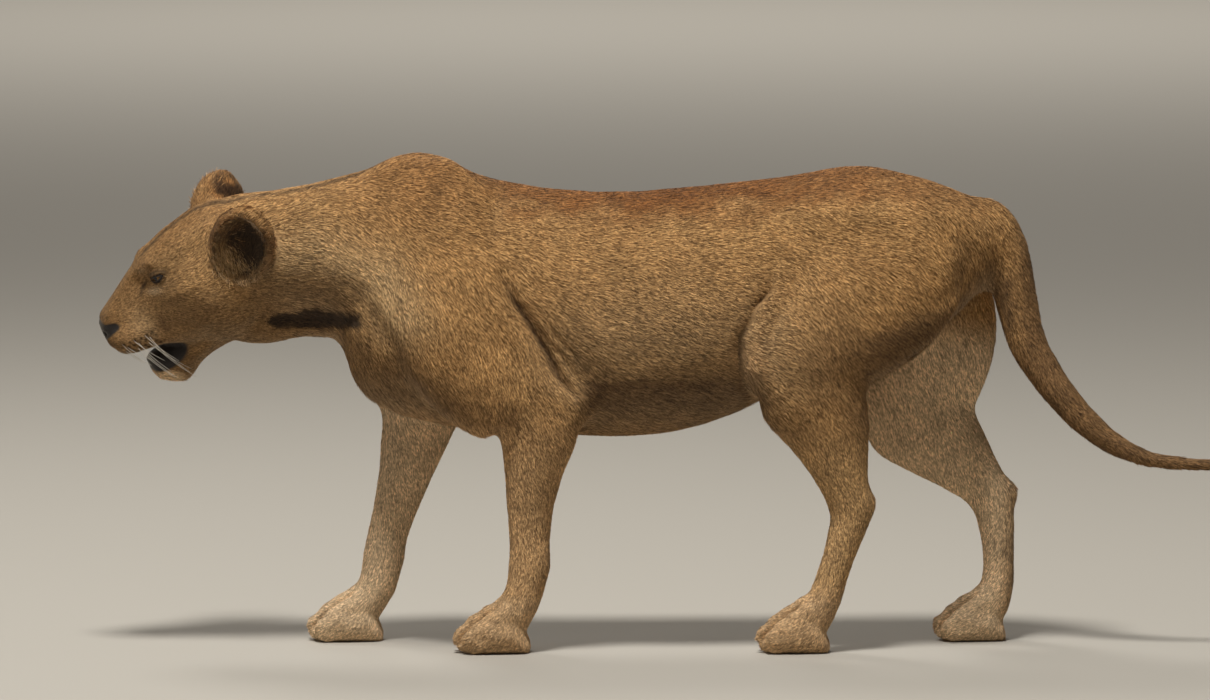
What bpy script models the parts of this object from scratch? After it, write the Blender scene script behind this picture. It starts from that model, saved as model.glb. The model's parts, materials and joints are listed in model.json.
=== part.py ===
# A lioness in mid stride, as a still life-size model.
# She walks along -Y with her left side at +X; +Z is up, the floor is z = 0, and all sizes are metres.
# The flesh is modelled whole from lofts and muscle ellipsoids, fused on a fine grid, and then parted
# into the pieces that a person names, with a hairline gap between neighbours.

import math

import bmesh
import bpy
from mathutils import Matrix, Vector

# Driving dimensions.
GAP = 0.0003
MASS_VOXEL = 0.0060
MASS_SOFTENING = 14
TRUNK_SOFTENING = 60
SKIN_VOXEL = 0.0038
SKIN_SOFTENING = 7
FLESH_TRIANGLES = 3900
EAR_VOXEL = 0.0022
EAR_TRIANGLES = 280
RING_SIDES = 28
RINGS_BETWEEN_STATIONS = 5
HEAD_STEPS = 5
DISC_SIDES = 24
REACH = 0.4

# The head hangs from the point midway between the eyes: nose down, turned and rolled to her left.
EYE_MIDPOINT = Vector((0.026, -0.997, 0.662))
HEAD_PITCH = 29.0
HEAD_YAW = 8.0
HEAD_ROLL = 13.0
EYE_RADIUS = 0.0175
EYE_SPREAD = 0.0465
EYE_DEPTH = -0.012

# Where the flesh is parted. The legs' lower cuts are level: side, rear and front limits along y.
ANKLE_HEIGHT = 0.115
KNEE_HEIGHT = 0.366
LEG_INNER = 0.012
LEG_SPANS = (
    ("foreleg_left", 1, -0.52, -0.15),
    ("foreleg_right", -1, -0.80, -0.40),
    ("hindleg_left", 1, 0.00, 0.36),
    ("hindleg_right", -1, 0.20, 0.58),
)
# The upper pieces of the legs, in side view: a circle's y, z and radius, run down to the lower
# cut between two limits along y.
DISC_INNER = 0.052
LEG_DISCS = (
    ("foreleg_left", 1, -0.400, 0.510, 0.155, -0.44, -0.20),
    ("foreleg_right", -1, -0.520, 0.510, 0.150, -0.63, -0.40),
    ("hindleg_left", 1, 0.205, 0.555, 0.190, 0.08, 0.33),
    ("hindleg_right", -1, 0.330, 0.555, 0.190, 0.20, 0.54),
)
TAIL_CUTS = (
    ("tail_tuft", (0.042, 0.915, 0.325), (0.0, 1.0, 0.1), 0.08, 0.08),
    ("tail_end", (0.018, 0.637, 0.399), (0.1, 0.78, -0.62), 0.08, 0.14),
    ("tail_middle", (0.002, 0.536, 0.539), (0.1, 0.42, -0.90), 0.06, 0.08),
)
TAIL_ROOT_START = 2
TAIL_ROOT_END = 6
TAIL_ROOT_MARGIN = 0.008
NOSE_CENTRE = (0.0, 0.128, -0.052)
NOSE_RADII = (0.026, 0.026, 0.026)
JAW_CUT = (0.0, 0.060, -0.122)
JAW_CUT_WAY = (0.0, 0.27, -0.96)
NAPE_CUT = (0.0, -0.806, 0.700)
NAPE_CUT_WAY = (0.0, -0.97, 0.25)
NECK_CUT = (0.0, -0.625, 0.700)
NECK_CUT_WAY = (0.0, -0.96, 0.28)

# Colours, linear RGB, and roughness.
FINISHES = {
    "coat": ((0.36, 0.215, 0.105), 0.85),
    "pale": ((0.55, 0.42, 0.28), 0.85),
    "tail": ((0.27, 0.18, 0.11), 0.85),
    "dark": ((0.035, 0.024, 0.018), 0.85),
    "leather": ((0.020, 0.014, 0.012), 0.45),
    "iris": ((0.42, 0.22, 0.05), 0.10),
}
FINISH_OF = {"jaw": "pale", "nose": "leather", "eye": "iris", "tail_tuft": "dark", "tail": "tail"}

# Trunk stations: y, top, bottom, half width, height of the widest part as a share of the depth.
TRUNK = (
    (-0.662, 0.700, 0.530, 0.045, 0.50),
    (-0.637, 0.800, 0.455, 0.095, 0.52),
    (-0.580, 0.842, 0.413, 0.124, 0.50),
    (-0.500, 0.850, 0.390, 0.138, 0.50),
    (-0.410, 0.830, 0.378, 0.147, 0.48),
    (-0.300, 0.808, 0.372, 0.156, 0.46),
    (-0.175, 0.800, 0.368, 0.164, 0.44),
    (-0.077, 0.806, 0.377, 0.166, 0.44),
    (0.025, 0.817, 0.408, 0.158, 0.46),
    (0.124, 0.829, 0.460, 0.145, 0.52),
    (0.235, 0.846, 0.500, 0.136, 0.58),
    (0.327, 0.831, 0.530, 0.127, 0.60),
    (0.405, 0.808, 0.575, 0.106, 0.62),
    (0.466, 0.776, 0.640, 0.070, 0.60),
    (0.497, 0.745, 0.680, 0.034, 0.50),
)

# Neck, in the same terms.
NECK = (
    (-0.910, 0.770, 0.600, 0.072, 0.52),
    (-0.860, 0.796, 0.585, 0.086, 0.54),
    (-0.790, 0.804, 0.578, 0.093, 0.54),
    (-0.730, 0.814, 0.575, 0.096, 0.54),
    (-0.680, 0.825, 0.565, 0.102, 0.54),
    (-0.620, 0.840, 0.520, 0.114, 0.52),
    (-0.550, 0.850, 0.480, 0.124, 0.52),
)

# Limb stations: x, y, z, half depth fore and aft, half thickness.
# The throat is the soft strip that hangs below the neck.
THROAT = (
    (0.008, -0.930, 0.582, 0.035, 0.036),
    (0.006, -0.860, 0.582, 0.039, 0.037),
    (0.004, -0.790, 0.589, 0.039, 0.037),
    (0.002, -0.720, 0.593, 0.041, 0.038),
    (0.000, -0.660, 0.590, 0.050, 0.045),
    (0.000, -0.600, 0.560, 0.070, 0.055),
)
LEFT_SHOULDER = (
    (0.030, -0.512, 0.785, 0.050, 0.030),
    (0.060, -0.508, 0.812, 0.080, 0.036),
    (0.090, -0.495, 0.765, 0.092, 0.042),
    (0.112, -0.478, 0.680, 0.106, 0.050),
    (0.120, -0.458, 0.585, 0.120, 0.056),
    (0.121, -0.412, 0.497, 0.113, 0.058),
    (0.118, -0.352, 0.436, 0.090, 0.053),
)
LEFT_FOREARM = (
    (0.116, -0.345, 0.490, 0.060, 0.044),
    (0.116, -0.322, 0.445, 0.076, 0.051),
    (0.111, -0.316, 0.390, 0.074, 0.051),
    (0.104, -0.325, 0.320, 0.056, 0.044),
    (0.097, -0.331, 0.255, 0.045, 0.038),
    (0.092, -0.332, 0.195, 0.039, 0.036),
    (0.089, -0.331, 0.160, 0.041, 0.039),
    (0.088, -0.341, 0.110, 0.036, 0.040),
    (0.088, -0.356, 0.070, 0.033, 0.042),
    (0.088, -0.368, 0.040, 0.027, 0.038),
)
RIGHT_SHOULDER = (
    (-0.030, -0.502, 0.780, 0.050, 0.030),
    (-0.060, -0.498, 0.806, 0.080, 0.036),
    (-0.090, -0.500, 0.762, 0.090, 0.042),
    (-0.112, -0.516, 0.680, 0.100, 0.050),
    (-0.120, -0.538, 0.585, 0.108, 0.056),
    (-0.119, -0.545, 0.500, 0.100, 0.056),
    (-0.114, -0.520, 0.436, 0.083, 0.052),
)
RIGHT_FOREARM = (
    (-0.112, -0.520, 0.490, 0.058, 0.044),
    (-0.111, -0.518, 0.440, 0.072, 0.051),
    (-0.108, -0.531, 0.380, 0.068, 0.050),
    (-0.101, -0.552, 0.300, 0.052, 0.042),
    (-0.094, -0.572, 0.230, 0.042, 0.037),
    (-0.090, -0.586, 0.180, 0.039, 0.036),
    (-0.088, -0.590, 0.152, 0.041, 0.039),
    (-0.087, -0.601, 0.105, 0.036, 0.040),
    (-0.087, -0.617, 0.070, 0.033, 0.042),
    (-0.087, -0.630, 0.040, 0.027, 0.038),
)
LEFT_THIGH = (
    (0.040, 0.400, 0.715, 0.060, 0.034),
    (0.078, 0.365, 0.700, 0.102, 0.050),
    (0.100, 0.305, 0.655, 0.128, 0.056),
    (0.114, 0.230, 0.597, 0.128, 0.060),
    (0.122, 0.155, 0.540, 0.104, 0.058),
    (0.124, 0.108, 0.503, 0.072, 0.050),
)
LEFT_SHANK = (
    (0.123, 0.120, 0.525, 0.060, 0.044),
    (0.121, 0.150, 0.470, 0.100, 0.050),
    (0.115, 0.182, 0.405, 0.086, 0.046),
    (0.106, 0.203, 0.340, 0.061, 0.040),
    (0.098, 0.219, 0.285, 0.045, 0.035),
    (0.093, 0.231, 0.245, 0.042, 0.034),
)
LEFT_METATARSUS = (
    (0.093, 0.236, 0.268, 0.038, 0.032),
    (0.091, 0.225, 0.225, 0.038, 0.033),
    (0.089, 0.209, 0.175, 0.032, 0.032),
    (0.088, 0.191, 0.120, 0.031, 0.034),
    (0.087, 0.173, 0.070, 0.030, 0.037),
    (0.087, 0.160, 0.040, 0.025, 0.034),
)
RIGHT_THIGH = (
    (-0.040, 0.400, 0.715, 0.060, 0.034),
    (-0.078, 0.370, 0.700, 0.102, 0.050),
    (-0.100, 0.352, 0.640, 0.128, 0.058),
    (-0.114, 0.357, 0.555, 0.138, 0.060),
    (-0.120, 0.345, 0.475, 0.130, 0.056),
    (-0.120, 0.315, 0.410, 0.099, 0.050),
)
RIGHT_SHANK = (
    (-0.121, 0.298, 0.445, 0.080, 0.046),
    (-0.117, 0.345, 0.400, 0.102, 0.048),
    (-0.110, 0.395, 0.350, 0.083, 0.044),
    (-0.102, 0.437, 0.307, 0.061, 0.039),
    (-0.097, 0.466, 0.274, 0.047, 0.035),
    (-0.093, 0.484, 0.246, 0.042, 0.034),
)
RIGHT_METATARSUS = (
    (-0.093, 0.482, 0.268, 0.038, 0.032),
    (-0.092, 0.487, 0.225, 0.038, 0.033),
    (-0.090, 0.492, 0.175, 0.032, 0.032),
    (-0.088, 0.494, 0.120, 0.031, 0.034),
    (-0.087, 0.488, 0.070, 0.030, 0.037),
    (-0.087, 0.475, 0.040, 0.025, 0.034),
)
TAIL = (
    (0.000, 0.435, 0.750, 0.050, 0.046),
    (0.000, 0.470, 0.735, 0.052, 0.047),
    (0.000, 0.497, 0.690, 0.047, 0.043),
    (0.000, 0.516, 0.618, 0.041, 0.038),
    (0.002, 0.536, 0.539, 0.037, 0.036),
    (0.006, 0.564, 0.490, 0.034, 0.033),
    (0.012, 0.595, 0.446, 0.031, 0.031),
    (0.018, 0.637, 0.399, 0.028, 0.028),
    (0.026, 0.690, 0.358, 0.023, 0.023),
    (0.034, 0.755, 0.332, 0.018, 0.018),
    (0.040, 0.850, 0.323, 0.0155, 0.0155),
    (0.042, 0.905, 0.325, 0.0165, 0.0165),
    (0.043, 0.950, 0.330, 0.026, 0.025),
    (0.043, 1.005, 0.336, 0.033, 0.031),
    (0.042, 1.050, 0.342, 0.025, 0.024),
    (0.041, 1.084, 0.347, 0.008, 0.008),
)

# Swellings of the body: centre, radii. Those off the midline are listed for each side.
WITHERS = ((0.020, -0.530, 0.800), (0.060, 0.105, 0.071))
ELBOWS = (
    ((0.118, -0.276, 0.440), (0.040, 0.052, 0.056)),
    ((-0.114, -0.476, 0.436), (0.040, 0.052, 0.056)),
)
HOCKS = (
    ((0.090, 0.253, 0.262), (0.025, 0.026, 0.028)),
    ((-0.092, 0.507, 0.262), (0.025, 0.026, 0.028)),
)
KNEES = (
    ((0.122, 0.101, 0.505), (0.047, 0.061, 0.064)),
    ((-0.119, 0.286, 0.432), (0.047, 0.062, 0.080)),
)
HIPS = (
    ((0.066, 0.250, 0.744), (0.070, 0.190, 0.070)),
    ((-0.066, 0.250, 0.744), (0.070, 0.190, 0.070)),
)

# Paws: x, y of the middle, half width, length. Their profile runs from heel to toes as shares.
PAWS = (
    (0.088, -0.378, 0.054, 0.120),
    (-0.087, -0.640, 0.054, 0.120),
    (0.087, 0.146, 0.048, 0.115),
    (-0.087, 0.462, 0.048, 0.115),
)
# Swellings that slope from the ankle to the toes: way back, height, and the three radii.
INSTEP = (
    (0.07, 0.068, 0.78, 0.27, 0.034),
    (-0.07, 0.056, 0.84, 0.33, 0.031),
    (-0.20, 0.044, 0.88, 0.34, 0.027),
)
PAW_PROFILE = (
    (0.40, 0.018, 0.42),
    (0.34, 0.036, 0.64),
    (0.22, 0.062, 0.82),
    (0.05, 0.074, 0.92),
    (-0.18, 0.062, 0.98),
    (-0.36, 0.048, 0.92),
    (-0.48, 0.034, 0.72),
    (-0.54, 0.020, 0.45),
)

# Head stations, measured from the eyes. Each ring is a top, three corners down one side as
# (half width, height), and a bottom; the other side mirrors it.
HEAD = (
    (0.124, -0.045, (0.018, -0.048), (0.022, -0.062), (0.014, -0.078), -0.081),
    (0.112, -0.027, (0.024, -0.032), (0.038, -0.066), (0.030, -0.093), -0.097),
    (0.090, -0.012, (0.024, -0.018), (0.050, -0.072), (0.043, -0.104), -0.108),
    (0.060, 0.004, (0.024, -0.003), (0.052, -0.075), (0.047, -0.111), -0.114),
    (0.035, 0.019, (0.027, 0.009), (0.054, -0.070), (0.051, -0.116), -0.120),
    (0.010, 0.033, (0.038, 0.022), (0.066, -0.060), (0.059, -0.124), -0.132),
    (-0.020, 0.045, (0.053, 0.027), (0.086, -0.056), (0.066, -0.134), -0.152),
    (-0.055, 0.055, (0.062, 0.033), (0.098, -0.060), (0.071, -0.144), -0.168),
    (-0.090, 0.061, (0.067, 0.036), (0.099, -0.066), (0.071, -0.150), -0.174),
    (-0.125, 0.064, (0.069, 0.036), (0.095, -0.066), (0.069, -0.152), -0.177),
    (-0.160, 0.058, (0.065, 0.028), (0.089, -0.066), (0.064, -0.152), -0.178),
    (-0.200, 0.036, (0.052, 0.008), (0.070, -0.068), (0.050, -0.140), -0.165),
)
JAW = (
    (0.096, -0.144, -0.166, 0.019, 0.50),
    (0.088, -0.133, -0.183, 0.032, 0.50),
    (0.060, -0.130, -0.194, 0.041, 0.55),
    (0.020, -0.126, -0.192, 0.048, 0.60),
    (-0.025, -0.120, -0.185, 0.056, 0.60),
    (-0.075, -0.112, -0.178, 0.058, 0.60),
)

# Forms pressed into or pushed out of the head: across, ahead, up; radii; push. Both sides.
HEAD_PUSHES = {
    "eye hollow": ((0.040, 0.012, 0.000), (0.020, 0.022, 0.017), (-0.006, -0.007, 0.000)),
    "brow": ((0.042, -0.002, 0.026), (0.018, 0.022, 0.011), (0.002, 0.004, 0.003)),
    "cheekbone": ((0.082, -0.030, -0.030), (0.020, 0.040, 0.018), (0.005, 0.002, 0.001)),
    "jaw muscle": ((0.080, -0.070, -0.105), (0.030, 0.050, 0.045), (0.006, 0.000, -0.002)),
    "face hollow": ((0.056, 0.038, -0.045), (0.022, 0.026, 0.040), (-0.003, 0.000, 0.000)),
    "whisker pad": ((0.046, 0.088, -0.078), (0.022, 0.026, 0.024), (0.006, 0.002, 0.000)),
    "nostril": ((0.020, 0.118, -0.052), (0.008, 0.008, 0.008), (-0.003, -0.003, 0.000)),
    "nape hollow": ((0.060, -0.190, 0.020), (0.030, 0.030, 0.030), (-0.004, 0.000, 0.000)),
}

# Ears, in the head's terms: where the cup sits, which way its tip and its opening point.
EAR_CENTRE = (0.104, -0.156, -0.012)
EAR_TIP_WAY = (0.34, -0.60, 0.72)
EAR_OPEN_WAY = (0.86, 0.48, 0.08)
EAR_RADII = (0.052, 0.066, 0.036)
EAR_HOLLOW_RADII = (0.040, 0.052, 0.040)
EAR_HOLLOW_OFFSET = 0.019


def new_object(name, mesh, collection):
    obj = bpy.data.objects.new(name, mesh)
    collection.objects.link(obj)
    return obj


def from_bmesh(name, bm, collection, outward=True):
    if outward:
        bmesh.ops.recalc_face_normals(bm, faces=bm.faces)
    mesh = bpy.data.meshes.new(name)
    bm.to_mesh(mesh)
    bm.free()
    return new_object(name, mesh, collection)


def apply_modifiers(obj):
    bpy.context.view_layer.update()
    graph = bpy.context.evaluated_depsgraph_get()
    mesh = bpy.data.meshes.new_from_object(obj.evaluated_get(graph))
    obj.modifiers.clear()
    obj.data = mesh


def between(stations, steps):
    """Smooth stations: a Catmull-Rom curve through every number of the given ones."""
    rows = []
    last = len(stations) - 1
    for i in range(last):
        before = stations[max(i - 1, 0)]
        start = stations[i]
        end = stations[i + 1]
        after = stations[min(i + 2, last)]
        for step in range(steps):
            t = step / steps
            row = []
            for a, b, c, d in zip(before, start, end, after):
                curve = 2 * b + (c - a) * t + (2 * a - 5 * b + 4 * c - d) * t * t
                row.append(0.5 * (curve + (3 * b - a - 3 * c + d) * t * t * t))
            rows.append(row)
    rows.append(list(stations[last]))
    return rows


def loft(name, rings, collection):
    """A closed skin over rings that all have the same number of points."""
    bm = bmesh.new()
    loops = [[bm.verts.new(point) for point in ring] for ring in rings]
    count = len(loops[0])
    for near, far in zip(loops, loops[1:]):
        for i in range(count):
            j = (i + 1) % count
            bm.faces.new((near[i], near[j], far[j], far[i]))
    bm.faces.new(loops[0])
    bm.faces.new(loops[-1])
    return from_bmesh(name, bm, collection)


def body_loft(name, stations, collection):
    """Upright rings along y, each with its widest part at a chosen height."""
    rings = []
    for y, top, bottom, half_width, widest in between(stations, RINGS_BETWEEN_STATIONS):
        middle = bottom + (top - bottom) * widest
        ring = []
        for i in range(RING_SIDES):
            angle = math.tau * i / RING_SIDES
            height = math.sin(angle)
            reach = top - middle if height > 0 else middle - bottom
            ring.append((half_width * math.cos(angle), y, middle + reach * height))
        rings.append(ring)
    return loft(name, rings, collection)


def limb_loft(name, stations, collection):
    """Rings square to the limb's own line: half depth in its plane, half thickness across it."""
    rows = between(stations, RINGS_BETWEEN_STATIONS)
    centres = [Vector(row[:3]) for row in rows]
    rings = []
    for k, row in enumerate(rows):
        along = centres[min(k + 1, len(rows) - 1)] - centres[max(k - 1, 0)]
        depth_axis = along.cross(Vector((1, 0, 0))).normalized()
        side_axis = depth_axis.cross(along).normalized()
        ring = []
        for i in range(RING_SIDES):
            angle = math.tau * i / RING_SIDES
            offset = depth_axis * row[3] * math.sin(angle) + side_axis * row[4] * math.cos(angle)
            ring.append(centres[k] + offset)
        rings.append(ring)
    return loft(name, rings, collection)


def ellipsoid(name, centre, radii, collection, turn=None, subdivisions=4):
    bm = bmesh.new()
    bmesh.ops.create_icosphere(bm, subdivisions=subdivisions, radius=1.0)
    placed = Matrix.Translation(centre) @ (turn or Matrix.Identity(4)) @ Matrix.Diagonal((*radii, 1.0))
    bmesh.ops.transform(bm, matrix=placed, verts=bm.verts)
    return from_bmesh(name, bm, collection)


def paw(x, y, half_width, length, collection):
    """A loaf with four toes, let a little below the floor so that the sole can be cut flat."""
    rows = [(y + length * along, tall, -0.006, half_width * wide, 0.42) for along, tall, wide in PAW_PROFILE]
    sole = body_loft("paw", rows, collection)
    sole.data.transform(Matrix.Translation((x, 0, 0)))
    shapes = [sole]
    for behind, height, wide, long, tall in INSTEP:
        radii = (half_width * wide, length * long, tall)
        shapes.append(ellipsoid("instep", (x, y + length * behind, height), radii, collection))
    for across, ahead in ((-0.70, 0.36), (-0.25, 0.48), (0.25, 0.48), (0.70, 0.36)):
        toe_x = x + half_width * across
        knuckle = (toe_x, y - length * (ahead - 0.12), 0.034)
        tip = (toe_x, y - length * (ahead + 0.06), 0.021)
        shapes.append(ellipsoid("knuckle", knuckle, (half_width * 0.29, length * 0.20, 0.022), collection))
        shapes.append(ellipsoid("toe", tip, (half_width * 0.28, length * 0.16, 0.0235), collection))
    return shapes


def fuse(name, shapes, voxel, collection):
    """One closed skin round overlapping shapes."""
    bm = bmesh.new()
    for shape in shapes:
        bm.from_mesh(shape.data)
        bpy.data.objects.remove(shape)
    whole = from_bmesh(name, bm, collection, False)
    grid = whole.modifiers.new("Grid", "REMESH")
    grid.mode = "VOXEL"
    grid.voxel_size = voxel
    apply_modifiers(whole)
    return whole


def soften(obj, rounds, share=None):
    """Even out the surface; a share of the full softening can be given for each point."""
    modifier = obj.modifiers.new("Soften", "SMOOTH")
    modifier.factor = 0.5
    modifier.iterations = rounds
    if share:
        group = obj.vertex_groups.new(name="Share")
        for vert in obj.data.vertices:
            group.add([vert.index], share(vert.co), "REPLACE")
        modifier.vertex_group = group.name
    apply_modifiers(obj)
    obj.vertex_groups.clear()


def ramp(value, low, high):
    share = min(max((value - low) / (high - low), 0.0), 1.0)
    return share * share * (3 - 2 * share)


def trunk_share(point):
    """One on the trunk, none on the legs, tail and face."""
    return ramp(point.z, 0.37, 0.47) * ramp(-point.y, -0.50, -0.42) * ramp(point.y, -0.95, -0.80)


def thin_out(obj, triangles):
    modifier = obj.modifiers.new("Thin out", "DECIMATE")
    modifier.ratio = triangles / sum(len(face.vertices) - 2 for face in obj.data.polygons)
    apply_modifiers(obj)


def cut(obj, cutter, operation):
    modifier = obj.modifiers.new("Cut", "BOOLEAN")
    modifier.operation = operation
    modifier.object = cutter
    apply_modifiers(obj)
    keep_largest(obj)


def keep_largest(obj):
    """Drop the crumbs that a cut can leave."""
    bm = bmesh.new()
    bm.from_mesh(obj.data)
    left = set(bm.verts)
    islands = []
    while left:
        seed = left.pop()
        island = {seed}
        front = [seed]
        while front:
            for edge in front.pop().link_edges:
                for vert in edge.verts:
                    if vert in left:
                        left.remove(vert)
                        island.add(vert)
                        front.append(vert)
        islands.append(island)
    islands.sort(key=len)
    for island in islands[:-1]:
        bmesh.ops.delete(bm, geom=list(island), context="VERTS")
    bm.to_mesh(obj.data)
    bm.free()


def part_off(name, rest, region, collection):
    """Take the piece of flesh inside a region, and leave a hairline between it and the rest."""
    piece = new_object(name, rest.data.copy(), collection)
    cut(piece, region, "INTERSECT")
    spread = region.modifiers.new("Hairline", "DISPLACE")
    spread.strength = GAP
    spread.mid_level = 0.0
    cut(rest, region, "DIFFERENCE")
    bpy.data.objects.remove(region)
    return piece


def box(low, high, collection):
    bm = bmesh.new()
    bmesh.ops.create_cube(bm, size=1.0)
    size = [b - a for a, b in zip(low, high)]
    middle = [(a + b) / 2 for a, b in zip(low, high)]
    placed = Matrix.Translation(middle) @ Matrix.Diagonal((*size, 1.0))
    bmesh.ops.transform(bm, matrix=placed, verts=bm.verts)
    return from_bmesh("region", bm, collection)


def beyond_plane(point, normal, half_width, half_depth, collection):
    """A square-sided region that starts at a plane and reaches along its normal."""
    region = box((-half_width, -half_depth, 0.0), (half_width, half_depth, REACH), collection)
    out = Vector(normal).normalized()
    across = (Vector((1, 0, 0)) - out * out.x).normalized()
    turn = Matrix((across, out.cross(across), out)).transposed().to_4x4()
    region.data.transform(Matrix.Translation(point) @ turn)
    return region


def leg_top(y, z, radius, low_y, high_y, side, collection):
    """A region round a shoulder or thigh: a circle run down to the lower cut, from inside outwards."""
    turns = [math.tau * i / DISC_SIDES for i in range(DISC_SIDES)]
    outline = [(y + radius * math.cos(turn), z + radius * math.sin(turn)) for turn in turns]
    outline += [(low_y, KNEE_HEIGHT - GAP), (high_y, KNEE_HEIGHT - GAP)]
    bm = bmesh.new()
    for x in (side * DISC_INNER, side * 0.3):
        for point in outline:
            bm.verts.new((x, *point))
    bmesh.ops.convex_hull(bm, input=bm.verts)
    return from_bmesh("region", bm, collection)


def head_matrix():
    turn = Matrix.Rotation(math.radians(HEAD_YAW), 4, "Z")
    nod = Matrix.Rotation(math.radians(HEAD_PITCH), 4, "X")
    roll = Matrix.Rotation(math.radians(HEAD_ROLL), 4, "Y")
    return Matrix.Translation(EYE_MIDPOINT) @ turn @ nod @ roll


def to_head(across, ahead, up):
    """A point or a way in the head's own axes."""
    return Vector((across, -ahead, up))


def head_ring(ahead, top, corners, bottom):
    """A smooth closed curve through the ring's corners and their mirror images."""
    points = [(0.0, top), *corners, (0.0, bottom)]
    points += [(-across, up) for across, up in reversed(corners)]
    closed = points[-1:] + points + points[:2]
    curve = between(closed, HEAD_STEPS)[HEAD_STEPS:-2 * HEAD_STEPS]
    return [to_head(across, ahead, up) for across, up in curve[:len(points) * HEAD_STEPS]]


def head_shapes(collection):
    flat = [(ahead, top, *(n for corner in corners for n in corner), bottom)
            for ahead, top, *corners, bottom in HEAD]
    rings = []
    for ahead, top, a, b, c, d, e, f, bottom in between(flat, RINGS_BETWEEN_STATIONS):
        rings.append(head_ring(ahead, top, [(a, b), (c, d), (e, f)], bottom))
    jaw_rows = [(-ahead, *rest) for ahead, *rest in JAW]
    return [loft("head", rings, collection), body_loft("jaw", jaw_rows, collection)]


def push_forms(obj, forms, frame):
    """Smooth swellings and hollows on both sides of the head."""
    inverse = frame.inverted()
    for vert in obj.data.vertices:
        place = inverse @ vert.co
        if place.length > 0.4:
            continue
        move = Vector((0, 0, 0))
        for centre, radii, push in forms.values():
            for side in (1, -1):
                away = place - to_head(centre[0] * side, *centre[1:])
                spread = sum((a / r) ** 2 for a, r in zip(away, radii))
                if spread < 9:
                    move += to_head(push[0] * side, *push[1:]) * math.exp(-spread)
        vert.co = frame @ (place + move)


def ear(name, side, collection):
    """A cup: an egg with a hollow pushed into its open side."""
    tip = to_head(EAR_TIP_WAY[0] * side, *EAR_TIP_WAY[1:]).normalized()
    opening = to_head(EAR_OPEN_WAY[0] * side, *EAR_OPEN_WAY[1:])
    opening = (opening - tip * opening.dot(tip)).normalized()
    turn = Matrix((tip.cross(opening), tip, opening)).transposed().to_4x4()
    centre = to_head(EAR_CENTRE[0] * side, *EAR_CENTRE[1:])
    cup = ellipsoid(name, centre, EAR_RADII, collection, turn)
    hollow = ellipsoid("hollow", centre + opening * EAR_HOLLOW_OFFSET, EAR_HOLLOW_RADII, collection, turn)
    cut(cup, hollow, "DIFFERENCE")
    bpy.data.objects.remove(hollow)
    whole = fuse(name, [cup], EAR_VOXEL, collection)
    soften(whole, 3)
    thin_out(whole, EAR_TRIANGLES)
    return whole


def eye(name, side, collection, extra=0.0):
    centre = to_head(EYE_SPREAD * side, EYE_DEPTH, 0.0)
    bm = bmesh.new()
    bmesh.ops.create_uvsphere(bm, u_segments=14, v_segments=8, radius=EYE_RADIUS + extra)
    bmesh.ops.translate(bm, vec=centre, verts=bm.verts)
    return from_bmesh(name, bm, collection)


def ears_and_eyes(flesh, head_frame, collection):
    for side, word in ((1, "left"), (-1, "right")):
        piece = ear("ear_" + word, side, collection)
        piece.data.transform(head_frame)
        around = new_object("around", flesh.data.copy(), collection)
        spread = around.modifiers.new("Hairline", "DISPLACE")
        spread.strength = GAP
        spread.mid_level = 0.0
        cut(piece, around, "DIFFERENCE")
        bpy.data.objects.remove(around)
    for side, word in ((1, "left"), (-1, "right")):
        ball = eye("eye_" + word, side, collection)
        socket = eye("socket", side, collection, GAP)
        ball.data.transform(head_frame)
        socket.data.transform(head_frame)
        cut(flesh, socket, "DIFFERENCE")
        bpy.data.objects.remove(socket)


def name_parts(flesh, head_frame, collection):
    """Part the flesh from the ends inwards; what is left is the trunk."""
    for name, side, low_y, high_y in LEG_SPANS:
        low, high = sorted((side * LEG_INNER, side * 0.3))
        for part, height in (("paw", ANKLE_HEIGHT), ("lower", KNEE_HEIGHT)):
            region = box((low, low_y, -0.1), (high, high_y, height), collection)
            part_off(f"{name}_{part}", flesh, region, collection)
    for name, side, *outline in LEG_DISCS:
        part_off(f"{name}_upper", flesh, leg_top(*outline, side, collection), collection)
    for name, *plane in TAIL_CUTS:
        part_off(name, flesh, beyond_plane(*plane, collection), collection)
    around_root = [(x, y, z, depth + TAIL_ROOT_MARGIN, thick + TAIL_ROOT_MARGIN)
                   for x, y, z, depth, thick in TAIL[TAIL_ROOT_START:TAIL_ROOT_END]]
    part_off("tail_root", flesh, limb_loft("region", around_root, collection), collection)
    nose = ellipsoid("region", to_head(*NOSE_CENTRE), NOSE_RADII, collection, subdivisions=3)
    nose.data.transform(head_frame)
    part_off("nose", flesh, nose, collection)
    jaw = beyond_plane(to_head(*JAW_CUT), to_head(*JAW_CUT_WAY), 0.13, 0.13, collection)
    jaw.data.transform(head_frame)
    part_off("jaw", flesh, jaw, collection)
    part_off("head", flesh, beyond_plane(NAPE_CUT, NAPE_CUT_WAY, 0.3, 0.3, collection), collection)
    part_off("neck", flesh, beyond_plane(NECK_CUT, NECK_CUT_WAY, 0.3, 0.3, collection), collection)
    flesh.name = "trunk"


def finish(obj):
    """A material of the piece's own, in the finish that its name calls for."""
    words = [word for word in FINISH_OF if obj.name.startswith(word)]
    colour, roughness = FINISHES[FINISH_OF[max(words, key=len)] if words else "coat"]
    material = bpy.data.materials.new(obj.name)
    material.use_nodes = True
    shader = material.node_tree.nodes["Principled BSDF"]
    shader.inputs["Base Color"].default_value = (*colour, 1.0)
    shader.inputs["Roughness"].default_value = roughness
    shader.inputs["Metallic"].default_value = 0.0
    obj.data.materials.clear()
    obj.data.materials.append(material)


def centre_on_floor(collection):
    """Slide everything level, so the middle of the whole box stands over the origin."""
    points = [vertex.co for obj in collection.objects for vertex in obj.data.vertices]
    middle = [(min(point[i] for point in points) + max(point[i] for point in points)) / 2 for i in (0, 1)]
    slide = Matrix.Translation((-middle[0], -middle[1], 0))
    for obj in collection.objects:
        obj.data.transform(slide)


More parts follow.
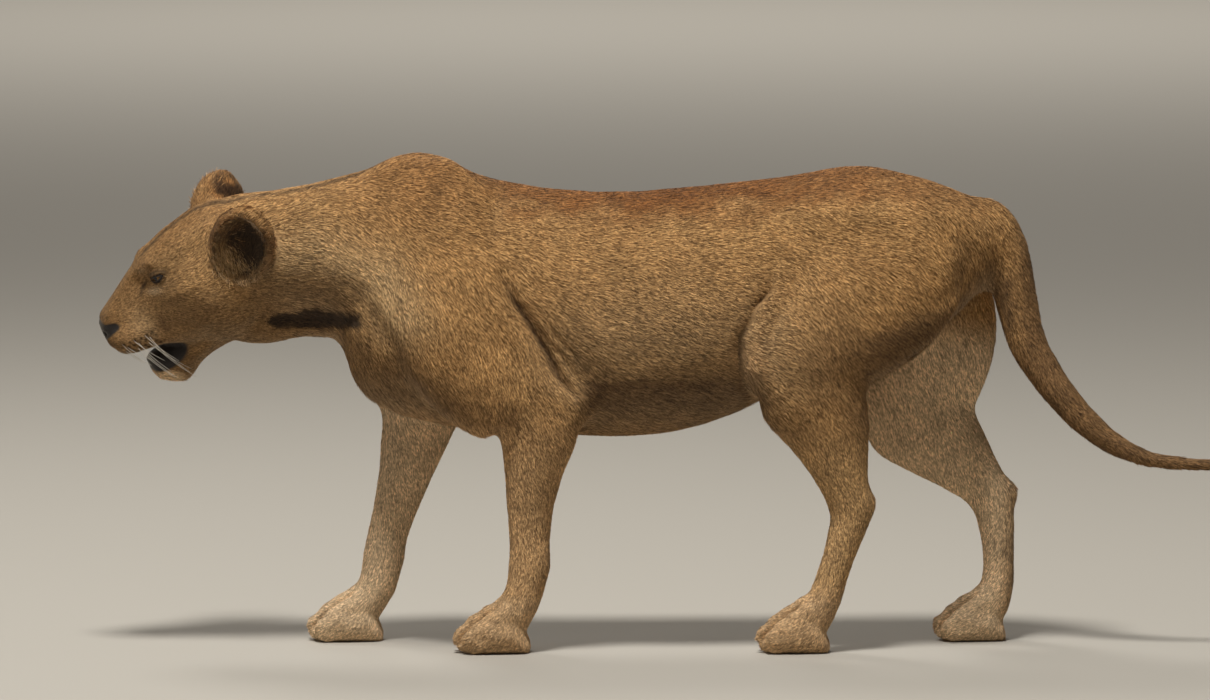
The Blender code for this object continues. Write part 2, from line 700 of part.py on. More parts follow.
def main():
    for obj in list(bpy.data.objects):
        bpy.data.objects.remove(obj)
    parts = bpy.data.collections.new("Lioness")
    bpy.context.scene.collection.children.link(parts)
    head_frame = head_matrix()

    masses = [body_loft("trunk", TRUNK, parts), body_loft("neck", NECK, parts)]
    left_legs = (LEFT_SHOULDER, LEFT_FOREARM, LEFT_THIGH, LEFT_SHANK, LEFT_METATARSUS)
    right_legs = (RIGHT_SHOULDER, RIGHT_FOREARM, RIGHT_THIGH, RIGHT_SHANK, RIGHT_METATARSUS)
    for stations in (THROAT, *left_legs, *right_legs, TAIL):
        masses.append(limb_loft("limb", stations, parts))
    for centre, radii in (WITHERS, *ELBOWS, *KNEES, *HOCKS, *HIPS):
        masses.append(ellipsoid("swelling", centre, radii, parts))
    body = fuse("body", masses, MASS_VOXEL, parts)
    soften(body, MASS_SOFTENING)
    soften(body, TRUNK_SOFTENING, trunk_share)

    shapes = [body]
    for x, y, half_width, half_length in PAWS:
        shapes.extend(paw(x, y, half_width, half_length, parts))
    for shape in head_shapes(parts):
        shape.data.transform(head_frame)
        shapes.append(shape)
    flesh = fuse("flesh", shapes, SKIN_VOXEL, parts)
    soften(flesh, SKIN_SOFTENING)
    push_forms(flesh, HEAD_PUSHES, head_frame)
    thin_out(flesh, FLESH_TRIANGLES)
    floor = box((-1, -2, -1), (1, 2, 0), parts)
    cut(flesh, floor, "DIFFERENCE")
    bpy.data.objects.remove(floor)

    ears_and_eyes(flesh, head_frame, parts)
    name_parts(flesh, head_frame, parts)
    centre_on_floor(parts)
    for obj in parts.objects:
        finish(obj)


main()
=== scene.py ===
import json
import math

import bmesh
import bpy
import numpy as np
from mathutils import Matrix, Vector

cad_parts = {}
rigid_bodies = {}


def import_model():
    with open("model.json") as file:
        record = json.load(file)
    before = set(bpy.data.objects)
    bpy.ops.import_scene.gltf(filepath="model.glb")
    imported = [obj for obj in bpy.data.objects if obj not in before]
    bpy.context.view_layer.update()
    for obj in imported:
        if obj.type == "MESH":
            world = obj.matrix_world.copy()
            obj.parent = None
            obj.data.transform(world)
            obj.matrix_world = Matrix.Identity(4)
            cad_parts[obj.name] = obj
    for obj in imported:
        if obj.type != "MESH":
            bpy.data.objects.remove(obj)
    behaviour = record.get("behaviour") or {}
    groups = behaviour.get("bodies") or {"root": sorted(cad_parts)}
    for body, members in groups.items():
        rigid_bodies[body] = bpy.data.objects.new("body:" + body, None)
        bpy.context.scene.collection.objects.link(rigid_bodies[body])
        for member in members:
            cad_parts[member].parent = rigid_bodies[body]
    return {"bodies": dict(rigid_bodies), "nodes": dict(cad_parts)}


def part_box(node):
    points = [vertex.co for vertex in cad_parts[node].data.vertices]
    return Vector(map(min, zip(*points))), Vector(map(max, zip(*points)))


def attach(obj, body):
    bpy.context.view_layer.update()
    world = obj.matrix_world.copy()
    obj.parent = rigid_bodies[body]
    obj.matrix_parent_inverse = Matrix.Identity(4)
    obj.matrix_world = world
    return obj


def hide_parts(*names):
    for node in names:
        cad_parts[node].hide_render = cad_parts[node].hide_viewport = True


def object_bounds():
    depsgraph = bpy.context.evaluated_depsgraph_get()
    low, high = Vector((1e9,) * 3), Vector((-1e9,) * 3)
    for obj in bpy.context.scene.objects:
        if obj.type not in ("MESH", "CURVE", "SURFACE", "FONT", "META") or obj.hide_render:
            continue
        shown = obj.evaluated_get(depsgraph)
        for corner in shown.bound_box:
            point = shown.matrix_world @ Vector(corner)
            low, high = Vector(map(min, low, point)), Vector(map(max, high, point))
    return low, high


# A lioness in mid stride: one skin over the fixed frame, a coat of short tufts on it,
# and eyes, lid rims and whiskers as pieces of their own.
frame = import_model()
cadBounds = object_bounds()
cadLow, cadHigh = (np.array(corner) for corner in cadBounds)
nodes = frame["nodes"]
bodyName = list(frame["bodies"])[0]
random = np.random.default_rng(20817)


# small helpers

def unit(v):
    v = np.asarray(v, float)
    return v / np.maximum(np.linalg.norm(v, axis=-1, keepdims=True), 1e-9)


def smoothStep(x, low, high):
    t = np.clip((x - low) / (high - low), 0, 1)
    return t * t * (3 - 2 * t)


def bell(points, centre, radii):
    return np.exp(-(((points - np.asarray(centre, float)) / np.asarray(radii, float)) ** 2).sum(1))


# rises over the first pair of limits and falls over the second
def between(x, low, high, fall, end):
    return smoothStep(x, low, high) * (1 - smoothStep(x, fall, end))


def most(*masks):
    return np.maximum.reduce(masks)


def mm(values):
    return np.array(values, float) / 1000


def cornersOf(node):
    return (np.array(corner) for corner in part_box(node))


# a place inside a node's box, by shares of its three sides
def inBox(node, shares):
    low, high = cornersOf(node)
    return low + (high - low) * np.array(shares, float)


# a place in side view, by thousandths of the whole animal's length and height
def inSide(place):
    return cadLow[1:] + (cadHigh - cadLow)[1:] * mm(place)


def sideBell(points, place, radii):
    return bell(points[:, 1:], inSide(place), mm(radii))


# distance to a bent line, and how far along it, from 0 to 1
def alongLine(points, line):
    best, share = np.full(len(points), 1e9), np.zeros(len(points))
    for i, (a, b) in enumerate(zip(line[:-1], line[1:])):
        way = b - a
        t = np.clip(((points - a) @ way) / (way @ way), 0, 1)
        gap = np.linalg.norm(points - a - t[:, None] * way, axis=1)
        nearer = gap < best
        best[nearer] = gap[nearer]
        share[nearer] = (i + t[nearer]) / (len(line) - 1)
    return best, share


# the same in side view, for a line in thousandths
def alongSide(points, line):
    return alongLine(points[:, 1:], [inSide(spot) for spot in line])


def nearLine(points, line, radius):
    return np.exp(-(alongLine(points, line)[0] / radius) ** 2)


# 1 along a fold's middle, fading to its ends
def fadeEnds(share, sharpness=1):
    return np.sin(math.pi * np.clip(share * 0.86 + 0.07, 0, 1)) ** sharpness


def noise(points, size, seed):
    shift = np.random.default_rng(seed).uniform(-50, 50, 3)
    p = points / size + shift
    total = np.zeros(len(p))
    turns = ((1.0, 0.3, -0.5), (-0.4, 1.1, 0.6), (0.7, -0.6, 0.9), (-0.9, -0.5, 0.4), (0.2, 0.9, -1.1))
    for i, turn in enumerate(turns):
        phase = p @ np.array(turn) * (1 + 0.37 * i)
        total += np.sin(phase + 1.7 * np.sin(p @ np.array(turns[(i + 2) % 5]) * 0.8 + i))
    return total / 5


def newMesh(name, points, faces, smooth=True):
    mesh = bpy.data.meshes.new(name)
    points = np.asarray(points, np.float32)
    faces = np.asarray(faces, np.int32)
    mesh.vertices.add(len(points))
    mesh.vertices.foreach_set("co", points.ravel())
    mesh.loops.add(faces.size)
    mesh.loops.foreach_set("vertex_index", faces.ravel())
    mesh.polygons.add(len(faces))
    mesh.polygons.foreach_set("loop_start", np.arange(0, faces.size, faces.shape[1], dtype=np.int32))
    mesh.polygons.foreach_set("use_smooth", np.full(len(faces), smooth))
    mesh.update(calc_edges=True)
    return mesh


def newPiece(name, mesh):
    piece = bpy.data.objects.new(name, mesh)
    bpy.context.scene.collection.objects.link(piece)
    return piece


# a piece on the body, which may replace nodes
def addPiece(name, mesh, slotName, *replaced):
    piece = newPiece(name, mesh)
    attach(piece, bodyName)
    if replaced:
        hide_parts(*replaced)


def pointsOf(mesh):
    points = np.empty(len(mesh.vertices) * 3, np.float32)
    mesh.vertices.foreach_get("co", points)
    return points.reshape(-1, 3).astype(float)


def normalsOf(mesh):
    normals = np.empty(len(mesh.vertices) * 3, np.float32)
    mesh.vertices.foreach_get("normal", normals)
    return normals.reshape(-1, 3).astype(float)


def movePoints(mesh, points):
    mesh.vertices.foreach_set("co", np.asarray(points, np.float32).ravel())
    mesh.update()


def setMask(mesh, name, values):
    layer = mesh.attributes.get(name) or mesh.attributes.new(name, "FLOAT", "POINT")
    layer.data.foreach_set("value", np.asarray(values, np.float32))


def applyModifier(piece, kind, **values):
    modifier = piece.modifiers.new(kind, kind)
    for key, value in values.items():
        setattr(modifier, key, value)
    bpy.context.view_layer.objects.active = piece
    bpy.ops.object.modifier_apply(modifier=modifier.name)


# the head's own axes

headTurn = {"pitch": 29.0, "yaw": 8.0, "roll": 13.0, "eyeSpread": 0.0465, "eyeAhead": -0.012, "reach": 0.3}

eyeBoxes = [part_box("eye_left"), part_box("eye_right")]
eyeCentres = [(low + high) / 2 for low, high in eyeBoxes]
eyeRadius = (eyeBoxes[0][1] - eyeBoxes[0][0])[2] / 2
headSpin = (Matrix.Rotation(math.radians(headTurn["yaw"]), 3, "Z")
            @ Matrix.Rotation(math.radians(headTurn["pitch"]), 3, "X")
            @ Matrix.Rotation(math.radians(headTurn["roll"]), 3, "Y"))
headAxes = np.array(headSpin @ Matrix(((1, 0, 0), (0, -1, 0), (0, 0, 1))))
headOrigin = (np.array(eyeCentres[0]) + np.array(eyeCentres[1])) / 2
headOrigin -= headAxes @ (0, headTurn["eyeAhead"], 0)


# across to her left, ahead to the nose, up to the crown
def inHead(points):
    return (points - headOrigin) @ headAxes


def fromHead(spots):
    return np.asarray(spots, float) @ headAxes.T + headOrigin


def wayFromHead(way):
    return np.asarray(way, float) @ headAxes.T


# skin

skinPlan = {
    "voxel": 0.0050,
    "bodySteps": 11,
    "headSteps": 6,
    "coatDepth": 0.0026,
    "legDepth": 0.0022,
    "faceDepth": 0.0012,
    "pawDepth": 0.0008,
    "tuftDepth": 0.0140,
    "socketFill": 1.05,
    "humpSteps": 60,
}

earPlan = {
    "centre": (0.104, -0.156, -0.012),
    "tipWay": (0.34, -0.60, 0.72),
    "openWay": (0.86, 0.48, 0.08),
    "grow": 0.12,
    "rise": 0.009,
}


# the ears' own axes: centre, to the tip, out of the opening
def earAxes(side):
    turn = np.array((side, 1, 1))
    tip, opening = unit(np.array(earPlan["tipWay"]) * turn), unit(np.array(earPlan["openWay"]) * turn)
    opening = unit(opening - tip * (opening @ tip))
    return np.array(earPlan["centre"]) * turn, tip, opening


def edgesOf(mesh):
    edges = np.empty(len(mesh.edges) * 2, np.int32)
    mesh.edges.foreach_get("vertices", edges)
    return edges.reshape(-1, 2)


def relax(piece, share, steps):
    points, (a, b) = pointsOf(piece.data), edgesOf(piece.data).T
    count = np.maximum(np.bincount(a, minlength=len(points)) + np.bincount(b, minlength=len(points)), 1)
    for _ in range(steps):
        move = np.empty_like(points)
        for axis in range(3):
            line = points[:, axis]
            total = np.bincount(a, line[b], len(points)) + np.bincount(b, line[a], len(points))
            move[:, axis] = total / count - line
        points = points + move * (share * 0.6)[:, None]
    movePoints(piece.data, points)


def joinFlesh():
    spots, faces, start = [], [], 0
    for name, node in nodes.items():
        node.data.calc_loop_triangles()
        triangles = np.empty(len(node.data.loop_triangles) * 3, np.int32)
        node.data.loop_triangles.foreach_get("vertices", triangles)
        spots.append(pointsOf(node.data))
        if name.startswith("eye"):
            middle = spots[-1].mean(0)
            spots[-1] = middle + (spots[-1] - middle) * skinPlan["socketFill"]
        faces.append(triangles.reshape(-1, 3) + start)
        start += len(spots[-1])
    return newPiece("skin", newMesh("skin", np.concatenate(spots), np.concatenate(faces)))


# faces with their middle in the zone are cut in four
def refine(piece, inZone):
    middles = np.empty(len(piece.data.polygons) * 3, np.float32)
    piece.data.polygons.foreach_get("center", middles)
    chosen = np.nonzero(inZone(middles.reshape(-1, 3).astype(float)))[0]
    work = bmesh.new()
    work.from_mesh(piece.data)
    work.faces.ensure_lookup_table()
    rims = list({edge for i in chosen for edge in work.faces[i].edges})
    bmesh.ops.subdivide_edges(work, edges=rims, cuts=1, use_grid_fill=True)
    bmesh.ops.triangulate(work, faces=[face for face in work.faces if len(face.verts) > 4])
    work.to_mesh(piece.data)
    work.free()
    piece.data.polygons.foreach_set("use_smooth", np.ones(len(piece.data.polygons), bool))
    piece.data.update()


def nearEar(points):
    near = np.zeros(len(points))
    for node in ("ear_left", "ear_right"):
        low, high = cornersOf(node)
        away = np.linalg.norm((points - (low + high) / 2) / ((high - low) / 2 + 0.004), axis=1)
        near = np.maximum(near, 1 - smoothStep(away, 0.95, 1.3))
    return near


# how far each part blends into the next, around its border
partEdges = {
    "paw": (-0.03, 0.02),
    "leg": (-0.06, 0.10),
    "tail": (-0.03, 0.03),
    "tuft": (-0.01, 0.05),
    "head": (-0.20, -0.12),
    "face": (-0.06, 0.02),
}


# where the skin is: 1 on each part, 0 elsewhere
def partShares(points):
    spots = inHead(points)

    def beyond(part, values, border=0):
        low, high = partEdges[part]
        return smoothStep(values, border + low, border + high)

    onTail = beyond("tail", points[:, 1], inBox("tail_root", (0.5, 0.55, 0.5))[1])
    close = np.linalg.norm(spots, axis=1) < headTurn["reach"]
    return {
        "paw": (1 - onTail) * (1 - beyond("paw", points[:, 2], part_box("foreleg_left_paw")[1][2])),
        "leg": (1 - onTail) * (1 - beyond("leg", points[:, 2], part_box("foreleg_left_lower")[1][2])),
        "tail": onTail,
        "tuft": beyond("tuft", points[:, 1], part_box("tail_tuft")[0][1]),
        "head": beyond("head", spots[:, 1]) * close,
        "face": beyond("face", spots[:, 1]) * close,
        "ear": nearEar(points),
    }


def inHeadOrPaws(points):
    part = partShares(points)
    return (part["head"] > 0.3) | (part["ear"] > 0.2) | (part["paw"] > 0.5)


skin = joinFlesh()
applyModifier(skin, "REMESH", mode="VOXEL", voxel_size=skinPlan["voxel"])
parts = partShares(pointsOf(skin.data))
still = np.maximum.reduce([parts["paw"], parts["head"], parts["ear"], parts["tail"] * 0.7])
relax(skin, 1 - still, skinPlan["bodySteps"])
refine(skin, inHeadOrPaws)
parts = partShares(pointsOf(skin.data))
relax(skin, 1 - parts["paw"] * 0.5, skinPlan["headSteps"])
humpShare = sideBell(pointsOf(skin.data), (285, 960), (140, 70)) * (1 - parts["head"])
relax(skin, smoothStep(humpShare, 0.2, 0.8), skinPlan["humpSteps"])
print("skin joined:", len(skin.data.vertices), "points")

points = pointsOf(skin.data)
parts = partShares(points)
depth = np.full(len(points), skinPlan["coatDepth"])
for part, key in (("leg", "legDepth"), ("head", "faceDepth"), ("ear", "faceDepth"), ("paw", "pawDepth"),
                  ("tuft", "tuftDepth")):
    depth += (skinPlan[key] - depth) * parts[part]
movePoints(skin.data, points - normalsOf(skin.data) * depth[:, None])


# the small features of the face need finer skin
fineZones = {"eye": 0.034, "lids": 0.0255, "muzzleBack": 0.055, "muzzleTop": -0.03, "muzzleSide": 0.06}


def inFaceZone(points):
    spots = inHead(points)
    side, ahead, up = np.abs(spots[:, 0]), spots[:, 1], spots[:, 2]
    fromEye = np.c_[side - headTurn["eyeSpread"], ahead - headTurn["eyeAhead"], up]
    atMuzzle = (ahead > fineZones["muzzleBack"]) & (up < fineZones["muzzleTop"])
    atMuzzle &= (side < fineZones["muzzleSide"]) & (np.linalg.norm(spots, axis=1) < 0.25)
    return (np.linalg.norm(fromEye, axis=1) < fineZones["eye"]) | atMuzzle


def inEyeZone(points):
    fromEyes = [np.linalg.norm(points - np.array(centre), axis=1) for centre in eyeCentres]
    return np.minimum(*fromEyes) < fineZones["lids"]


refine(skin, inFaceZone)
refine(skin, inEyeZone)

facePlan = {"jawBack": 0.016, "farBrow": 0.1}
# pushes in the head's axes: place, radii, way, height; all in millimetres, made on both sides
facePushes = (
    ((32, 86, -84), (20, 30, 20), (0.9, 0.4, 0), 10),
    ((22, 100, -100), (12, 16, 9), (0.5, 0.6, -0.5), 3),
    ((46, 6, 26), (13, 22, 9), (0.6, 0.5, 0.6), 4.5),
    ((31, 26, 0), (9, 16, 13), (0.8, 0.3, 0.4), -4),
    ((58, 20, -26), (16, 20, 10), (0.8, 0.4, 0), -2.5),
    ((66, -12, -30), (14, 26, 12), (0.9, 0.3, 0), 3.5),
    ((78, -60, -70), (20, 40, 40), (1, 0, 0), 5),
    ((52, 40, -70), (16, 22, 30), (1, 0.2, 0), -3),
    ((80, -70, 20), (16, 30, 22), (1, 0, 0.3), -4.5),
    ((15, 118, -56), (5.5, 9, 4.5), (0.35, 1, 0.1), -10),
    ((24, 108, -58), (5.5, 8, 2.6), (0.8, 0.6, 0), -5.5),
    ((20, 112, -47), (7.5, 10, 4.2), (0.6, 0.6, 0.5), 3),
    ((38, 98, -50), (11, 16, 14), (1, 0, 0.2), -5),
    ((20, 40, -190), (30, 36, 20), (0.2, 0, -1), 10),
)
# grooves in the head's axes, in millimetres: line, radius, depth
faceGrooves = (
    (((0, 124, -70), (0, 118, -84), (0, 108, -104)), 3.6, 9.5),
    (((0, 100, -12), (0, 30, 26), (0, -50, 52)), 8, 1.4),
    (((28, 18, -6), (30, 36, -18), (36, 56, -38)), 4, 1.2),
    (((42, 10, -152), (64, -20, -140), (80, -50, -110)), 8, 3),
)


def sculptFace(piece):
    points, normals = pointsOf(piece.data), normalsOf(piece.data)
    spots = inHead(points)
    jaw = smoothStep(-spots[:, 2], 0.122, 0.140) * smoothStep(spots[:, 1], -0.02, 0.085)
    jaw *= np.linalg.norm(spots, axis=1) < headTurn["reach"]
    points -= wayFromHead((0, 1, 0)) * (jaw * facePlan["jawBack"])[:, None]
    ear = nearEar(points)
    for side in (-1, 1):
        turn = np.array((side, 1, 1))
        centre, tip, opening = earAxes(side)
        away = spots - centre
        away -= opening * (away @ opening)[:, None]
        mine = ear * (spots[:, 0] * side > 0)
        points += wayFromHead(away) * (mine * earPlan["grow"])[:, None]
        points[:, 2] += mine * earPlan["rise"] * smoothStep(away @ tip, -0.06, 0.02)
        for place, radii, way, height in facePushes:
            share = bell(spots, mm(place) * turn, mm(radii)) * mm(height)
            share *= facePlan["farBrow"] if side < 0 and place[2] > 10 else 1
            points += wayFromHead(unit(np.array(way) * turn)) * share[:, None]
        for line, radius, depth in faceGrooves:
            share = nearLine(spots, mm(line) * turn, mm(radius)) * mm(depth)
            points -= normals * (share * (0.5 if line[0][0] == 0 else 1))[:, None]
    movePoints(piece.data, points)


sculptFace(skin)

# lids around the eyes

lidPlan = {
    "axis": (0.66, 0.74, 0.10),
    "sink": 0.0030,
    "slant": 7.0,
    "halfWidth": 47.0,
    "upper": 11.0,
    "lower": 16.5,
    "lidThick": 0.0022,
    "pocket": 0.80,
    "blendFrom": 0.0030,
    "blendTo": 0.0140,
    "pullFrom": 0.0225,
    "pullTo": 0.0330,
    "reach": 0.05,
    "swell": 0.7,
    "swellPlace": 0.004,
    "swellWidth": 0.003,
    "bare": 0.0012,
    "easeFrom": (0.006, 0.011),
    "easeTo": (0.036, 0.050),
    "easeSteps": 60,
    "rimRadius": 0.0014,
    "rimLift": 0.0011,
}


# the eye's own axes: outwards, to the inner corner, up
def eyeAxes(side):
    out = unit(wayFromHead(np.array(lidPlan["axis"]) * (side, 1, 1)))
    up = wayFromHead((0, 0, 1))
    inner = unit(np.cross(up, out)) * side
    if inner @ wayFromHead((-side, 0, 0)) < 0:
        inner = -inner
    up = unit(up - out * (up @ out))
    slant = math.radians(lidPlan["slant"])
    cos, sin = math.cos(slant), math.sin(slant)
    return out, inner * cos - up * sin, up * cos + inner * sin


def eyeSpot(side):
    return np.array(eyeCentres[0 if side > 0 else 1]) - lidPlan["sink"] * eyeAxes(side)[0]


def lidEdges(across):
    bow = np.clip(1 - across ** 2, 0, 1) ** 0.7
    return lidPlan["upper"] * bow * (1 - 0.20 * across), -lidPlan["lower"] * bow * (1 + 0.15 * across)


def eyeAngles(points, centre, axes):
    way = unit(points - centre)
    out, inner, up = (way @ axis for axis in axes)
    return np.degrees(np.arctan2(inner, out)), np.degrees(np.arcsin(np.clip(up, -1, 1)))


# distance outside the lid opening, in metres on the eyeball; negative in the opening
def lidGap(points, centre, axes):
    across, rise = eyeAngles(points, centre, axes)
    share = across / lidPlan["halfWidth"]
    top, bottom = lidEdges(share)
    gap = np.maximum(rise - top, bottom - rise)
    beyond = np.maximum(np.abs(across) - lidPlan["halfWidth"], 0)
    gap = np.where(beyond > 0, np.hypot(beyond, rise), gap)
    return np.radians(gap) * eyeRadius


def wrapLids(piece):
    points = pointsOf(piece.data)
    for side in (1, -1):
        centre, axes = eyeSpot(side), eyeAxes(side)
        away = points - centre
        radius = np.linalg.norm(away, axis=1)
        gap = lidGap(points, centre, axes)
        near = (radius < lidPlan["reach"]) & (unit(away) @ axes[0] > -0.1)
        swell = lidPlan["swell"] * np.exp(-((gap - lidPlan["swellPlace"]) / lidPlan["swellWidth"]) ** 2)
        lid = eyeRadius + lidPlan["lidThick"] * (1 + swell)
        share = near * (1 - smoothStep(gap, lidPlan["blendFrom"], lidPlan["blendTo"]))
        share *= 1 - smoothStep(radius, lidPlan["pullFrom"], lidPlan["pullTo"])
        target = radius + (lid - radius) * share
        target = np.where(near, np.maximum(target, eyeRadius + 0.6 * lidPlan["lidThick"]), target)
        inside = near * (1 - smoothStep(gap, -lidPlan["bare"], 0.0))
        target += (eyeRadius * lidPlan["pocket"] - target) * inside
        points = centre + away * (target / np.maximum(radius, 1e-6))[:, None]
    movePoints(piece.data, points)


# the skin around the lids is eased into the face
def easeLids(piece):
    points = pointsOf(piece.data)
    around = np.zeros(len(points))
    for side in (1, -1):
        away = np.linalg.norm(points - eyeSpot(side), axis=1)
        gap = lidGap(points, eyeSpot(side), eyeAxes(side))
        ring = smoothStep(gap, *lidPlan["easeFrom"]) * (1 - smoothStep(away, *lidPlan["easeTo"]))
        around = np.maximum(around, ring)
    relax(piece, around, lidPlan["easeSteps"])


wrapLids(skin)
easeLids(skin)

# folds of the body

# side, radius and depth in millimetres (negative for a ridge), line in thousandths of length and height
bodyFolds = (
    (1, 8.5, 12.5, ((325, 770), (336, 715), (347, 672), (363, 610), (372, 560), (384, 526))),
    (1, 16, -9, ((310, 790), (320, 715), (331, 665), (347, 605), (356, 555), (368, 515))),
    (1, 5, 5, ((344, 706), (358, 655), (375, 600), (387, 550))),
    (1, 5, 3.4, ((352, 700), (367, 650), (385, 600))),
    (1, 30, 6, ((372, 640), (392, 580), (400, 530))),
    (1, 10, 3, ((543.8, 790), (540.6, 741.4), (528.5, 707.2), (525.3, 672.9))),
    (1, 5.5, 6, ((541.5, 735), (528.5, 704))),
    (1, 5, 4, ((536, 726), (525, 690))),
    (1, 12, 9, ((523.5, 672.9), (516, 640.7), (516.5, 570), (522, 520))),
    (1, 16, -7.5, ((540, 700), (533, 650), (533, 580), (538, 530))),
    (1, 20, -2.6, ((556, 790), (552, 741), (540, 700), (535, 660))),
    (1, 12, 7, ((139, 664), (175, 664), (206, 668))),
    (1, 20, 5, ((205, 735), (222, 680), (232, 640), (245, 600))),
    (1, 24, 3, ((330, 930), (318, 880), (315, 830))),
    (1, 22, -4, ((640, 880), (655, 840), (664, 800))),
    (1, 18, 4.5, ((690, 860), (700, 800), (690, 740), (665, 690))),
    (-1, 12, 7, ((270, 760), (285, 690), (305, 620), (320, 560))),
    (-1, 17, -6, ((255, 760), (270, 690), (290, 610), (305, 550))),
    (-1, 16, 3.2, ((572, 800), (566, 730), (556, 680))),
    (-1, 22, -3.2, ((587, 800), (580, 730), (570, 680))),
)

pawPlan = {
    "groovePlaces": (0.27, 0.50, 0.73),
    "grooveRadius": 0.0042,
    "grooveRise": -0.0095,
    "toePlaces": (0.13, 0.385, 0.615, 0.87),
    "toeRadius": 0.0105,
    "toeRise": 0.0055,
    "toeReach": 0.55,
}


# place in thousandths of length and height, radii and rise in millimetres
bodySwells = (
    ((133, 625), (55, 45), -19),
    ((165, 635), (55, 40), -10),
    ((265, 990), (80, 50), 7),
    ((460, 920), (180, 40), 3),
    ((620, 950), (120, 50), 3),
)


def foldBody(piece):
    points = pointsOf(piece.data)
    for place, radii, rise in bodySwells:
        points[:, 2] += mm(rise) * sideBell(points, place, radii)
    movePoints(piece.data, points)
    normals = normalsOf(piece.data)
    for side, radius, depth, line in bodyFolds:
        gap, share = alongSide(points, line)
        facing = smoothStep(normals[:, 0] * side, 0.15, 0.5) * (points[:, 0] * side > 0.01)
        push = facing * fadeEnds(share, 0.6) * mm(depth) * np.exp(-(gap / mm(radius)) ** 2)
        points -= normals * push[:, None]
    movePoints(piece.data, points)


def shapeToes(piece):
    points, normals = pointsOf(piece.data), normalsOf(piece.data)
    for node in nodes:
        if not node.endswith("paw"):
            continue
        low, high = cornersOf(node)
        share = (points - low) / (high - low)
        near = np.all((share > -0.1) & (share < 1.1), axis=1)
        front = 1 - smoothStep(share[:, 1], pawPlan["toeReach"] - 0.2, pawPlan["toeReach"] + 0.05)
        above = smoothStep(normals[:, 2], -0.3, 0.1)
        push = np.zeros(len(points))
        for kind, reach in (("groove", 1), ("toe", 1 - smoothStep(share[:, 1], 0.05, 0.42))):
            for spot in pawPlan[kind + "Places"]:
                gap = (share[:, 0] - spot) * (high - low)[0] / pawPlan[kind + "Radius"]
                push += pawPlan[kind + "Rise"] * np.exp(-gap ** 2) * reach
        points += normals * (push * front * above * near)[:, None]
    points[:, 2] = np.maximum(points[:, 2], 0.0004)
    movePoints(piece.data, points)


foldBody(skin)
shapeToes(skin)
print("skin shaped:", sum(len(face.vertices) - 2 for face in skin.data.polygons), "triangles")
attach(skin, bodyName)
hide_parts(*[name for name in nodes if not name.startswith("eye")])

# markings

# in the head's axes, in millimetres: line and radius, or place and radii
faceMarks = {
    "tearLine": (((31, 12, -3), (31, 24, -9), (33, 36, -20)), 4),
    "lidLine": (((34, 18, 4), (52, 4, 12), (64, -20, 8)), 5),
    "philtrum": (((0, 124, -70), (0, 112, -98)), 2),
    "browPatch": ((42, 22, 20), (10, 10, 7)),
    "underEye": ((48, 10, -19), (13, 13, 5.5)),
    "chin": ((0, 78, -184), (60, 48, 28)),
    "muzzleFront": ((0, 105, -95), (50, 34, 20)),
    "muzzleSide": ((45, 55, -62), (35, 32, 36)),
    "cheekShade": ((66, 28, -76), (40, 22, 36)),
    "mouth": ((0, 43, -144), (40, 20)),
    "mouthTilt": -12.0,
    "nose": ((0, 108.5, -53.5), (42, 35.5, 20)),
    "noseTaper": 0.55,
    "crown": ((6, -10, 50), (9, -60, 60), (14, -130, 65)),
}
# in side view: lines and places in thousandths of length and height, radii in millimetres
bodyMarks = {
    "nape": ((24, 125), (26, 165), (20, 210), (8, 270)),
    "hollow": ((140, 663), (170, 665), (205, 671)),
    "neckGrey": ((125, 760), (175, 790), (225, 750), (240, 690)),
    "neckGreyRadius": 60,
    "flankShadeGrey": ((400, 600), (470, 620), (530, 600)),
    "flankShadeGreyRadius": 100,
    "neckShade": ((163, 718), (52, 38)),
    "knee": ((524, 600), (35, 70)),
    "thigh": ((590, 590), (75, 95)),
    "haunchShadeEdge": ((570, 583, 647, 688, 716, 735), (590, 655, 690, 722, 758, 790)),
}
whiskerRows = {
    "rows": 4,
    "perRow": 6,
    "front": (26, 104, -76),
    "step": (3.5, -10.5, -1.2),
    "rowStep": (2.0, 0, -7.8),
    "spot": 3.2,
}


def whiskerSpots(side):
    spots = []
    for row in range(whiskerRows["rows"]):
        for i in range(whiskerRows["perRow"]):
            spot = mm(whiskerRows["front"]) + mm(whiskerRows["step"]) * i + mm(whiskerRows["rowStep"]) * row
            spot[1] += mm(whiskerRows["step"])[1] * 0.5 * (row % 2)
            spots.append(spot * (side, 1, 1))
    return spots


def earMasks(spots, ways, ear):
    inner, back, height, depth = (np.zeros(len(spots)) for _ in range(4))
    for side in (-1, 1):
        centre, tip, opening = earAxes(side)
        mine = ear * (spots[:, 0] * side > 0)
        away = spots - centre
        faces = (unit(opening * 0.026 - away) * ways).sum(1)
        inner += mine * smoothStep(faces, 0.05, 0.45) * (np.linalg.norm(away, axis=1) < 0.062)
        back += mine * smoothStep(-(ways @ opening), -0.1, 0.35)
        height += mine * (away @ tip)
        ahead = away @ np.cross(tip, opening) * side
        depth += mine * (-(away @ opening) - 0.35 * np.clip(ahead, -0.01, 0.05))
    return inner, back * (1 - inner), height, depth
